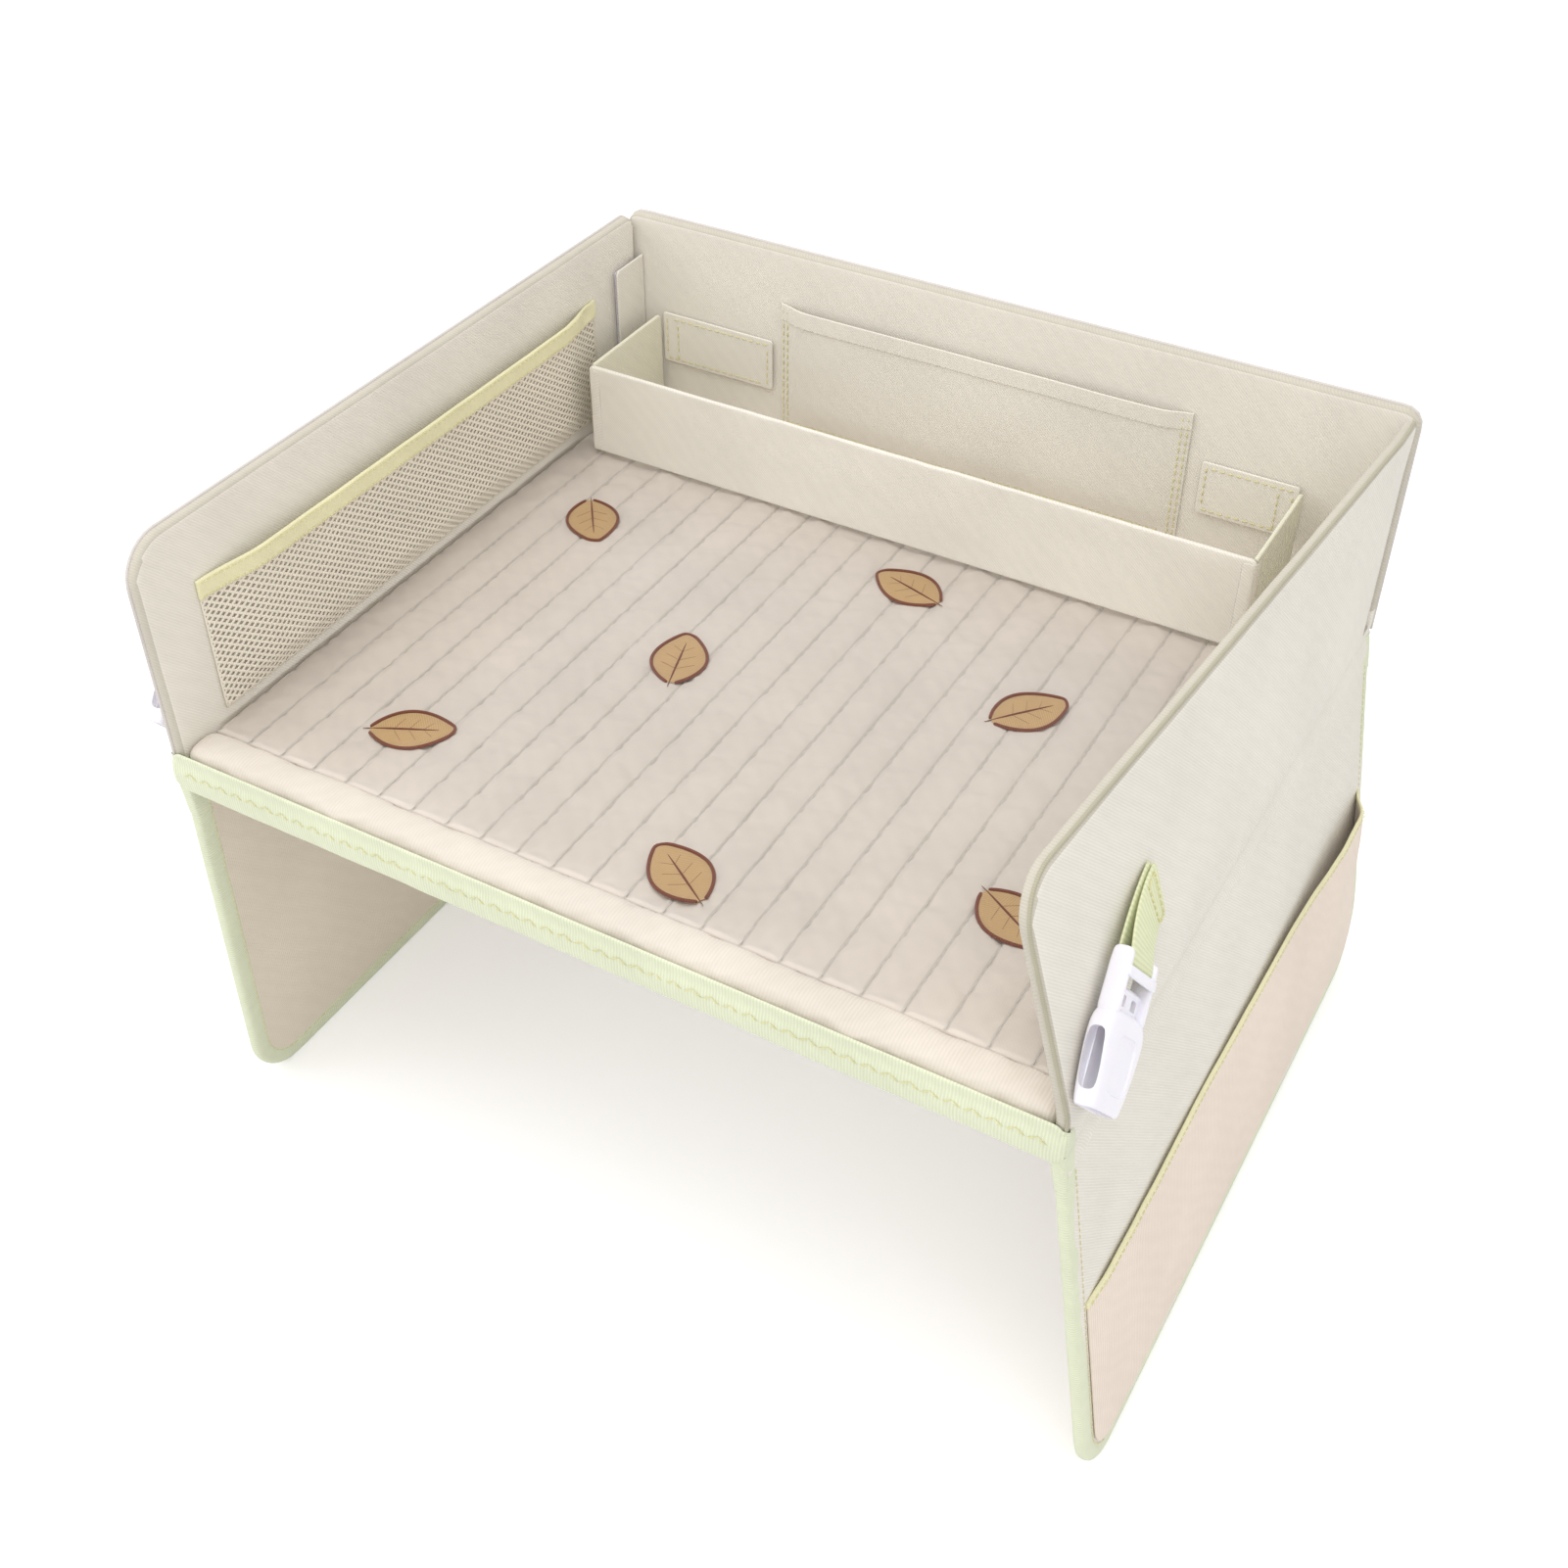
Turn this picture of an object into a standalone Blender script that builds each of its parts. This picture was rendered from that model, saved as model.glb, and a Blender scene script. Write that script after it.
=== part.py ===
"""Car seat tray table: a quilted lap tray with folding walls, a storage box and two side flaps.

Metres, +Z up. The child sits at -Y, behind the padded front roll, and faces +Y, so +X is the
child's right hand side. The model is built round the middle of the tray, up from the height of the
left flap's lower edge, and is then stood on the floor plane, centred on the origin.
"""
import math

import bmesh
import bpy
from mathutils import Matrix, Vector

LEFT, RIGHT = -1, 1
SIDE_NAMES = {LEFT: "left", RIGHT: "right"}

# Clearances
TOUCH_GAP = 0.0003
CUT_OVERRUN = 0.002
END_SWING_GAP = 0.0005
BUCKLE_WALL_GAP = 0.0015
SEAM_WALL_GAP = 0.0008

# Tray
TRAY_WIDTH = 0.400
TRAY_DEPTH = 0.356
UNDER_COVER_THICKNESS = 0.0012
BASE_BOARD_THICKNESS = 0.004
BASE_FOAM_THICKNESS = 0.005
FILM_THICKNESS = 0.0004

# Quilted pad
PAD_THICKNESS = 0.006
CHANNEL_PITCH = 0.0172
CHANNEL_DEPTH = 0.0024
PAD_END_TAPER = 0.007
PAD_SIDE_DRAW = 0.0008
CHANNEL_POINT_SHARES = (0.0, 0.14, 0.38, 0.62, 0.86)

# Front roll and its band
ROLL_DEPTH = 0.020
ROLL_RISE = 0.0025
ROLL_CORNER = 0.007
ROLL_END_DRAW = 0.003
ROLL_END_LENGTH = 0.012
BAND_THICKNESS = 0.0012
BAND_HEIGHT = 0.0193
BAND_CORNER = 0.006

# Walls
WALL_RISE = 0.097
WALL_INNER_COVER = 0.0015
WALL_BOARD = 0.0022
WALL_OUTER_COVER = 0.0014
WALL_LIP = 0.0014
WALL_FRONT_CORNER = 0.019
WALL_REAR_CORNER = 0.008
LEFT_FRONT_LEAN = -0.003
RIGHT_FRONT_LEAN = 0.026
REAR_SLOT = 0.007
REAR_SLOT_TOP = 0.026

# Corner ears with hook tape, and the loop tape on the side walls
EAR_REACH = 0.024
EAR_LOW = 0.004
EAR_HEIGHT = 0.072
EAR_THICKNESS = 0.0012
TAPE_THICKNESS = 0.0008
TAPE_MARGIN = 0.002

# Mesh pocket on the left wall
MESH_START = 0.028
MESH_END = 0.308
MESH_LOW = 0.005
MESH_TOP = 0.059
MESH_BORDER = 0.005
MESH_THICKNESS = 0.0008
MESH_GAPE = 0.008
MESH_SIDE_TAPER = 0.016
MESH_CELL_LONG = 0.0150
MESH_CELL_HIGH = 0.0100
MESH_STRAND = 0.0016
MESH_BINDING_HEIGHT = 0.009
MESH_BINDING_THICKNESS = 0.0018

# Centre pocket on the back wall
BACK_POCKET_LEFT_GAP = 0.0046
BACK_POCKET_RIGHT_GAP = 0.0076
BACK_POCKET_LOW = 0.004
BACK_POCKET_TOP = 0.070
BACK_POCKET_GAPE = 0.007
BACK_POCKET_TAPER = 0.014
CLOTH_THICKNESS = 0.0009

# Storage box
BOX_LEFT_INSET = 0.019
BOX_RIGHT_INSET = 0.041
BOX_DEPTH = 0.067
BOX_HEIGHT = 0.0465
BOX_PANEL = 0.0025
BOX_END = 0.0020
BOX_FILM_OVERLAP = 0.005
LEFT_TAB_LENGTH = 0.064
RIGHT_TAB_LENGTH = 0.046
TAB_HEIGHT = 0.027
TAB_LOW = 0.0205
TAB_THICKNESS = 0.0012
TAB_END_GAP = 0.0004

# Flaps
FLAP_LENGTH = 0.187
FLAP_COVER = 0.0013
FLAP_BOARD = 0.0020
FLAP_SPLAY = {LEFT: math.radians(0), RIGHT: math.radians(9)}
FLAP_FRONT_CORNER = 0.024
FLAP_REAR_CORNER = 0.036
FLAP_END_INSET = 0.001
FLAP_BINDING_WIDTH = 0.0065
FLAP_BINDING_PROUD = 0.0002
FLAP_POCKET_MOUTH = 0.094
FLAP_POCKET_GAPE = 0.0070
FLAP_POCKET_TAPER = 0.018
FLAP_POCKET_BINDING = 0.0040
FLAP_POCKET_BINDING_THICKNESS = 0.0014

# Webbing loop and buckle socket
BUCKLE_ALONG = 0.048
BUCKLE_RISE = 0.0330
BUCKLE_DROOP = math.radians(37)
BUCKLE_THICKNESS = 0.0105
BUCKLE_WIDTH = 0.034
BUCKLE_MOUTH_WIDTH = 0.027
BUCKLE_BODY_START = 0.018
BUCKLE_LENGTH = 0.051
BUCKLE_EDGE = 0.0016
BUCKLE_ARM_WIDTH = 0.0022
BUCKLE_ARM_THICKNESS = 0.0050
BUCKLE_BAR_RADIUS = 0.0016
BUCKLE_SECOND_BAR = 0.0095
SOCKET_WIDTH = 0.0260
SOCKET_HEIGHT = 0.0062
SOCKET_FLOOR = 0.0030
WINDOW_START = 0.026
WINDOW_END = 0.042
WINDOW_HEIGHT = 0.0050
WEBBING_WIDTH = 0.0225
WEBBING_THICKNESS = 0.0014
WEBBING_LENGTH = 0.034

# Counts of facets and stations
ARC_STEPS = 6
ROD_SIDES = 16
BAR_SIDES = 12
WRAP_STEPS = 12
WALL_STATIONS = 6

# Shares of the sizes that they follow
POCKET_FOOT_SHARE = 0.18
POCKET_LEAST_SHARE = 0.70
POCKET_ROW_SHARES = (0.0, POCKET_FOOT_SHARE, 0.6, 1.0)
POCKET_MID_SHARES = (0.33, 0.67)
MOUTH_SHARE = 1.0
WALL_BEND_SHARE = 0.2
WALL_ROW_SHARES = (0.0, WALL_BEND_SHARE, 0.6, 1.0)
ROLL_SECTION_STEPS = 4
ROLL_STATION_SHARES = (0.0, 0.25, 1.0)
PULL_EASE_SHARE = 0.5

# Places worked out from the sizes above, up from the floor and out from the tray's middle
HALF_WIDTH = TRAY_WIDTH / 2
FRONT_Y = -TRAY_DEPTH / 2
REAR_Y = TRAY_DEPTH / 2
FLAP_THICKNESS = 2 * FLAP_COVER + FLAP_BOARD + 2 * TOUCH_GAP
FLAP_FOLD_RADIUS = FLAP_THICKNESS / 2
FLAP_AXIS_X = HALF_WIDTH - FLAP_FOLD_RADIUS
FLAP_AXIS_Z = FLAP_LENGTH
UNDER_Z = FLAP_AXIS_Z + FLAP_FOLD_RADIUS + TOUCH_GAP
BOARD_Z = UNDER_Z + UNDER_COVER_THICKNESS + TOUCH_GAP
FOAM_Z = BOARD_Z + BASE_BOARD_THICKNESS + TOUCH_GAP
PAD_Z = FOAM_Z + BASE_FOAM_THICKNESS + TOUCH_GAP
TOP_Z = PAD_Z + PAD_THICKNESS
FILM_Z = TOP_Z + TOUCH_GAP
FILM_TOP_Z = FILM_Z + FILM_THICKNESS

WALL_THICKNESS = WALL_INNER_COVER + WALL_BOARD + WALL_OUTER_COVER + 2 * TOUCH_GAP
WALL_FOLD_RADIUS = WALL_THICKNESS / 2
WALL_AXIS_X = HALF_WIDTH - WALL_FOLD_RADIUS
WALL_AXIS_Z = UNDER_Z + WALL_FOLD_RADIUS
WALL_FOOT_Z = WALL_AXIS_Z + WALL_FOLD_RADIUS + TOUCH_GAP
WALL_TRAY_UP = TOP_Z - WALL_FOOT_Z
WALL_BEND_UP = WALL_TRAY_UP + ROLL_RISE + TOUCH_GAP
WALL_HEIGHT = WALL_TRAY_UP + WALL_RISE
BACK_INNER_Y = REAR_Y - WALL_THICKNESS
BACK_AXIS_Y = REAR_Y - WALL_FOLD_RADIUS
SIDE_WALL_REAR_Y = BACK_INNER_Y - TOUCH_GAP
LEAN_START_Y = BACK_INNER_Y - EAR_REACH - TAPE_MARGIN
BOARD_DEPTHS = (WALL_OUTER_COVER + TOUCH_GAP, WALL_OUTER_COVER + TOUCH_GAP + WALL_BOARD)

PAD_HALF_WIDTH = HALF_WIDTH - WALL_THICKNESS - TOUCH_GAP
PAD_FRONT_Y = FRONT_Y + ROLL_DEPTH + TOUCH_GAP
PAD_REAR_Y = SIDE_WALL_REAR_Y

BOX_LEFT_X = -HALF_WIDTH + BOX_LEFT_INSET
BOX_RIGHT_X = HALF_WIDTH - BOX_RIGHT_INSET
BOX_FRONT_Y = BACK_INNER_Y - BOX_DEPTH
BOX_BACK_Y = BOX_FRONT_Y + BOX_PANEL
BOX_Z = FILM_TOP_Z + TOUCH_GAP
TAB_TAPE_Y = BACK_INNER_Y - TOUCH_GAP - TAPE_THICKNESS
TAB_Y = TAB_TAPE_Y - TOUCH_GAP - TAB_THICKNESS
FLAP_PANEL_START = FLAP_FOLD_RADIUS + TOUCH_GAP

# Colours, linear red, green and blue, with roughness
FINISHES = {
    "cream_fabric": ((0.80, 0.76, 0.64), 0.85),
    "inner_fabric": ((0.66, 0.58, 0.45), 0.85),
    "quilt_fabric": ((0.69, 0.62, 0.52), 0.75),
    "green_binding": ((0.72, 0.78, 0.52), 0.85),
    "yellow_binding": ((0.79, 0.76, 0.38), 0.85),
    "mesh_fabric": ((0.72, 0.63, 0.46), 0.80),
    "pocket_fabric": ((0.80, 0.70, 0.60), 0.85),
    "board": ((0.60, 0.60, 0.58), 0.55),
    "foam": ((0.85, 0.83, 0.78), 0.95),
    "clear_film": ((0.90, 0.90, 0.90), 0.10),
    "hook_tape": ((0.86, 0.85, 0.90), 0.90),
    "white_plastic": ((0.86, 0.85, 0.91), 0.30),
}


def finish(name):
    """Return the named material, made once."""
    known = bpy.data.materials.get(name)
    if known:
        return known
    colour, roughness = FINISHES[name]
    material = bpy.data.materials.new(name)
    material.use_nodes = True
    shader = material.node_tree.nodes["Principled BSDF"]
    shader.inputs["Base Color"].default_value = (*colour, 1.0)
    shader.inputs["Roughness"].default_value = roughness
    shader.inputs["Metallic"].default_value = 0.0
    material.diffuse_color = (*colour, 1.0)
    return material


def object_from(name, mesh, surface, hinge):
    """Turn a bmesh into a named object that hangs on a hinge or on the tray."""
    bmesh.ops.recalc_face_normals(mesh, faces=mesh.faces)
    data = bpy.data.meshes.new(name)
    mesh.to_mesh(data)
    mesh.free()
    data.materials.append(finish(surface))
    piece = bpy.data.objects.new(name, data)
    bpy.context.collection.objects.link(piece)
    hang(piece, hinge)
    return piece


def hang(piece, hinge):
    """Parent a piece and keep it where it is."""
    piece.parent = hinge
    piece.matrix_parent_inverse = hinge.matrix_world.inverted()


def make_hinge(name, place, parent=None):
    """Return an empty that stands on a joint's axis."""
    hinge = bpy.data.objects.new(name, None)
    bpy.context.collection.objects.link(hinge)
    hinge.location = place
    bpy.context.view_layer.update()
    if parent:
        hang(hinge, parent)
        bpy.context.view_layer.update()
    return hinge


def sheet(name, columns, rows, place, depths, surface, hinge, flat=(False, False)):
    """Close a sheet between two depths. Each column and row share gives one point of a layer."""
    mesh = bmesh.new()
    last_column, last_row = len(columns) - 1, len(rows) - 1
    rim = [(c, 0) for c in range(last_column)]
    rim += [(last_column, r) for r in range(last_row)]
    rim += [(c, last_row) for c in range(last_column, 0, -1)]
    rim += [(0, r) for r in range(last_row, 0, -1)]
    edges = []
    for depth, is_flat in zip(depths, flat):
        spots = rim if is_flat else [(c, r) for c in range(last_column + 1) for r in range(last_row + 1)]
        points = {spot: mesh.verts.new(place(columns[spot[0]], rows[spot[1]], depth)) for spot in spots}
        if is_flat:
            mesh.faces.new([points[spot] for spot in rim])
        else:
            for c in range(last_column):
                for r in range(last_row):
                    corners = ((c, r), (c + 1, r), (c + 1, r + 1), (c, r + 1))
                    mesh.faces.new([points[corner] for corner in corners])
        edges.append([points[spot] for spot in rim])
    near, far = edges
    for i, _ in enumerate(rim):
        j = (i + 1) % len(rim)
        mesh.faces.new((near[i], near[j], far[j], far[i]))
    return object_from(name, mesh, surface, hinge)


def block(name, low, high, surface, hinge):
    """Return a plain box between two corners."""
    mesh = bmesh.new()
    bmesh.ops.create_cube(mesh, size=1)
    low, high = Vector(low), Vector(high)
    size = Matrix.Diagonal(high - low).to_4x4()
    bmesh.ops.transform(mesh, matrix=Matrix.Translation((low + high) / 2) @ size, verts=mesh.verts)
    return object_from(name, mesh, surface, hinge)


def rod(name, start, end, radius, sides, surface, hinge):
    """Return a round rod between two points."""
    start, end = Vector(start), Vector(end)
    run = end - start
    mesh = bmesh.new()
    bmesh.ops.create_cone(mesh, cap_ends=True, segments=sides, radius1=radius, radius2=radius,
                          depth=run.length)
    turn = run.to_track_quat("Z", "Y").to_matrix().to_4x4()
    bmesh.ops.transform(mesh, matrix=Matrix.Translation((start + end) / 2) @ turn, verts=mesh.verts)
    piece = object_from(name, mesh, surface, hinge)
    piece.data.shade_smooth()
    piece.data.set_sharp_from_angle(angle=math.radians(40))
    return piece


def boolean(piece, tool, operation):
    """Cut or join a piece with a tool that the build leaves out."""
    tool.hide_render = True
    tool.display_type = "WIRE"
    step = piece.modifiers.new(tool.name, "BOOLEAN")
    step.operation = operation
    step.object = tool
    step.solver = "EXACT"


def rounded_columns(start, end, height, start_corner, end_corner, inset=0.0, foot_inset=0.0, stop=None):
    """List (along, low, high) stations of a panel whose two far corners are round."""
    columns = []
    low = foot_inset
    high = height - inset
    first, last = start + inset, end - inset
    for corner, edge, turn in ((start_corner, first, 1), (end_corner, last, -1)):
        radius = corner - inset
        arc = []
        for step in range(ARC_STEPS + 1):
            angle = math.pi / 2 * step / ARC_STEPS
            along = edge + turn * radius * (1 - math.cos(angle))
            arc.append((along, low, high - radius * (1 - math.sin(angle))))
        columns.append(arc)
    middle = []
    span_start, span_end = columns[0][-1][0], stop or columns[1][-1][0]
    for step in range(1, WALL_STATIONS + (1 if stop else 0)):
        middle.append((span_start + (span_end - span_start) * step / WALL_STATIONS, low, high))
    return columns[0] + middle + columns[1][::-1]


def on(surface):
    """Return a sheet's place function for a panel of (along, low, high) columns on a surface."""
    def place(column, share, depth):
        along, low, high = column
        return surface(along, low + share * (high - low), depth)
    return place


def bent_on(surface):
    """Like on, but one row of points follows the bend at the tray's rim."""
    def place(column, share, depth):
        along, low, high = column
        if share <= WALL_BEND_SHARE:
            return surface(along, low + (WALL_BEND_UP - low) * share / WALL_BEND_SHARE, depth)
        rest = (share - WALL_BEND_SHARE) / (1 - WALL_BEND_SHARE)
        return surface(along, WALL_BEND_UP + (high - WALL_BEND_UP) * rest, depth)
    return place


def side_wall_surface(side):
    """A side wall leans above the rim at its front, and its rear edge curves away from the ear."""
    def surface(along, up, depth):
        blend = max(0.0, (along - LEAN_START_Y) / (SIDE_WALL_REAR_Y - LEAN_START_Y))
        ease = min(1.0, max(0.0, (WALL_HEIGHT - up) / REAR_SLOT_TOP))
        slot = REAR_SLOT * blend * ease ** PULL_EASE_SHARE
        to_front = max(0.0, (LEAN_START_Y - along) / (LEAN_START_Y - FRONT_Y))
        to_top = max(0.0, (up - WALL_BEND_UP) / (WALL_HEIGHT - WALL_BEND_UP))
        lean = (LEFT_FRONT_LEAN if side == LEFT else RIGHT_FRONT_LEAN) * to_front * to_top
        return Vector((side * (HALF_WIDTH - depth - lean), along - slot, WALL_FOOT_Z + up))
    return surface


def back_wall_surface(along, up, depth):
    return Vector((along, REAR_Y - depth, WALL_FOOT_Z + up))


def flap_surface(side):
    """A flap hangs from its fold and is splayed outward about it."""
    axis = Vector((side * FLAP_AXIS_X, 0, FLAP_AXIS_Z))
    turn = Matrix.Rotation(-side * FLAP_SPLAY[side], 3, "Y")

    def surface(along, down, depth):
        return axis + turn @ Vector((side * (FLAP_FOLD_RADIUS - depth), along, -down))
    return surface


def add_wall(name, columns_with, place, rows, flat, hinge):
    """Make one wall: a board in a wrapped inner cover, closed by an outer cover."""
    faces = (flat, flat)
    outline = columns_with(0.0)
    sheet(name + "_outer_cover", outline, rows, place, (0.0, WALL_OUTER_COVER),
          "cream_fabric", hinge, faces)
    inner = sheet(name + "_inner_cover", outline, rows, place, (BOARD_DEPTHS[0], WALL_THICKNESS),
                  "cream_fabric", hinge, faces)
    cutter = sheet(name + "_board_space", columns_with(WALL_LIP), rows, place,
                   (BOARD_DEPTHS[0] - CUT_OVERRUN, BOARD_DEPTHS[1] + TOUCH_GAP), "board", hinge, faces)
    boolean(inner, cutter, "DIFFERENCE")
    sheet(name + "_board", columns_with(WALL_LIP + TOUCH_GAP), rows, place, BOARD_DEPTHS,
          "board", hinge, faces)


def add_base():
    """Make the tray's stack, from the cover underneath to the clear film on top."""
    block("base_under_cover", (-PAD_HALF_WIDTH, PAD_FRONT_Y, UNDER_Z),
          (PAD_HALF_WIDTH, PAD_REAR_Y, UNDER_Z + UNDER_COVER_THICKNESS), "cream_fabric", tray)
    block("base_board", (-PAD_HALF_WIDTH, PAD_FRONT_Y, BOARD_Z),
          (PAD_HALF_WIDTH, PAD_REAR_Y, BOARD_Z + BASE_BOARD_THICKNESS), "board", tray)
    block("base_foam", (-PAD_HALF_WIDTH, PAD_FRONT_Y, FOAM_Z),
          (PAD_HALF_WIDTH, PAD_REAR_Y, FOAM_Z + BASE_FOAM_THICKNESS), "foam", tray)
    block("clear_top_film", (-PAD_HALF_WIDTH, PAD_FRONT_Y, FILM_Z),
          (PAD_HALF_WIDTH, BOX_BACK_Y + BOX_FILM_OVERLAP, FILM_TOP_Z), "clear_film", tray)


def add_quilted_pad():
    """Make the channel-quilted top, crowned along each channel and drawn in at its ends."""
    channels = round(2 * PAD_HALF_WIDTH / CHANNEL_PITCH)
    pitch = 2 * PAD_HALF_WIDTH / channels
    columns = [(-PAD_HALF_WIDTH + (channel + share) * pitch, share)
               for channel in range(channels) for share in CHANNEL_POINT_SHARES]
    columns.append((PAD_HALF_WIDTH, 0.0))
    length = PAD_REAR_Y - PAD_FRONT_Y
    taper = PAD_END_TAPER / length
    rows = [0.0, taper, 1 / 2, 1 - taper, 1.0]

    def place(column, share, depth):
        across, channel_share = column
        inside = 1.0 if taper <= share <= 1 - taper else 0.0
        edge_draw = PAD_SIDE_DRAW * math.sin(math.pi * share)
        across -= edge_draw * across / PAD_HALF_WIDTH
        crown = math.sqrt(math.sin(math.pi * channel_share))
        top = PAD_THICKNESS - CHANNEL_DEPTH + CHANNEL_DEPTH * crown * inside
        return Vector((across, PAD_FRONT_Y + share * length, PAD_Z + min(depth, top)))

    sheet("quilted_pad", columns, rows, place, (PAD_THICKNESS, 0.0), "quilt_fabric", tray, (False, True))


def add_front_roll():
    """Make the padded roll, lofted across the tray, and the band along its front."""
    low, high = UNDER_Z, TOP_Z + ROLL_RISE
    middle_y, middle_z = FRONT_Y + ROLL_DEPTH / 2, (low + high) / 2
    half_y, half_z = ROLL_DEPTH / 2, (high - low) / 2
    section = []
    for turn_y, turn_z, start in ((1, 1, 0), (-1, 1, 1), (-1, -1, 2), (1, -1, 3)):
        for step in range(ROLL_SECTION_STEPS + 1):
            angle = math.pi / 2 * (start + step / ROLL_SECTION_STEPS)
            section.append((turn_y * (half_y - ROLL_CORNER) + ROLL_CORNER * math.cos(angle),
                            turn_z * (half_z - ROLL_CORNER) + ROLL_CORNER * math.sin(angle)))
    stations = []
    for turn in (-1, 1):
        for share in ROLL_STATION_SHARES:
            draw = ROLL_END_DRAW * (1 - math.sqrt(1 - (1 - share) ** 2))
            stations.append((turn * (PAD_HALF_WIDTH - ROLL_END_LENGTH * share), draw))
    stations.append((0.0, 0.0))
    stations.sort()
    mesh = bmesh.new()
    rings = []
    for across, draw in stations:
        scale_y, scale_z = 1 - draw / half_y, 1 - draw / half_z
        rings.append([mesh.verts.new((across, middle_y + y * scale_y, middle_z + z * scale_z))
                      for y, z in section])
    for ring, after in zip(rings, rings[1:]):
        for i, _ in enumerate(section):
            j = (i + 1) % len(section)
            mesh.faces.new((ring[i], ring[j], after[j], after[i]))
    mesh.faces.new(rings[0])
    mesh.faces.new(rings[-1][::-1])
    roll = object_from("front_roll", mesh, "cream_fabric", tray)
    roll.data.shade_smooth()
    roll.data.set_sharp_from_angle(angle=math.radians(50))

    band_top = BAND_HEIGHT / 2 + TOUCH_GAP
    band_middle = TOP_Z - band_top
    outline = []
    for turn_x, turn_z, start in ((1, 1, 0), (-1, 1, 1), (-1, -1, 2), (1, -1, 3)):
        for step in range(ARC_STEPS + 1):
            angle = math.pi / 2 * (start + step / ARC_STEPS)
            outline.append((turn_x * (HALF_WIDTH - BAND_CORNER) + BAND_CORNER * math.cos(angle),
                            turn_z * (BAND_HEIGHT / 2 - BAND_CORNER) + BAND_CORNER * math.sin(angle)))
    mesh = bmesh.new()
    face = mesh.faces.new([mesh.verts.new((x, FRONT_Y - TOUCH_GAP, band_middle + z)) for x, z in outline])
    grown = bmesh.ops.extrude_face_region(mesh, geom=[face])
    moved = [item for item in grown["geom"] if isinstance(item, bmesh.types.BMVert)]
    bmesh.ops.translate(mesh, vec=(0, -BAND_THICKNESS, 0), verts=moved)
    object_from("front_binding", mesh, "green_binding", tray)


def pocket_gap(start, end, taper, gape):
    """Return how far a pocket's cloth stands off, from its seams to its mouth."""
    def gap(along, share):
        from_side = min(1.0, max(0.0, min(along - start, end - along) / taper))
        from_foot = min(1.0, share / POCKET_FOOT_SHARE)
        return gape * from_side * from_foot * (POCKET_LEAST_SHARE + (1 - POCKET_LEAST_SHARE) * share)
    return gap


def pocket_stations(start, end, taper):
    """Stations along a pocket: its two seams, the ends of their tapers, and between."""
    near, far = start + taper, end - taper
    middle = [near + (far - near) * share for share in POCKET_MID_SHARES]
    return [start, near, *middle, far, end]


def add_mesh_pocket(hinge):
    """Make the left wall's net pocket with its gaps, and the binding along its mouth."""
    surface = side_wall_surface(LEFT)
    low, high = WALL_TRAY_UP + MESH_LOW, WALL_TRAY_UP + MESH_TOP
    start, end = FRONT_Y + MESH_START, FRONT_Y + MESH_END
    gap = pocket_gap(start, end, MESH_SIDE_TAPER, MESH_GAPE)
    seat = WALL_THICKNESS + TOUCH_GAP

    def net_place(column, share, depth):
        return surface(column, low + share * (high - low), seat + gap(column, share) + depth)

    stations = pocket_stations(start, end, MESH_SIDE_TAPER)
    net = sheet("left_mesh_pocket", stations, POCKET_ROW_SHARES, net_place, (0.0, MESH_THICKNESS),
                "mesh_fabric", hinge)

    half_long = (MESH_CELL_LONG - MESH_STRAND) / 2
    half_high = (MESH_CELL_HIGH - MESH_STRAND) / 2
    mesh = bmesh.new()
    net_height = high - low - 2 * MESH_BORDER
    net_length = end - start - 2 * MESH_BORDER
    lines = int((net_height - 2 * half_high) / (MESH_CELL_HIGH / 2))
    posts = int((net_length - 2 * half_long) / (MESH_CELL_LONG / 2))
    spare_high = net_height - 2 * half_high - lines * MESH_CELL_HIGH / 2
    spare_long = net_length - 2 * half_long - posts * MESH_CELL_LONG / 2
    for line in range(lines + 1):
        for post in range(line % 2, posts + 1, 2):
            along = start + MESH_BORDER + half_long + spare_long / 2 + post * MESH_CELL_LONG / 2
            up = low + MESH_BORDER + half_high + spare_high / 2 + line * MESH_CELL_HIGH / 2
            depth = seat + gap(along, (up - low) / (high - low))
            corners = ((along - half_long, up), (along, up - half_high),
                       (along + half_long, up), (along, up + half_high))
            rings = []
            for layer in (depth - CUT_OVERRUN, depth + MESH_THICKNESS + CUT_OVERRUN):
                rings.append([mesh.verts.new(surface(a, u, layer)) for a, u in corners])
            mesh.faces.new(rings[0])
            mesh.faces.new(rings[1][::-1])
            for i, _ in enumerate(corners):
                j = (i + 1) % len(corners)
                mesh.faces.new((rings[0][j], rings[0][i], rings[1][i], rings[1][j]))
    boolean(net, object_from("net_gaps", mesh, "mesh_fabric", hinge), "DIFFERENCE")

    def binding_place(column, share, depth):
        return surface(column, high + TOUCH_GAP + share * MESH_BINDING_HEIGHT,
                       seat + gap(column, MOUTH_SHARE) + depth)

    sheet("left_mesh_pocket_binding", stations, (0.0, 1.0), binding_place,
          (0.0, MESH_BINDING_THICKNESS), "yellow_binding", hinge)


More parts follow.
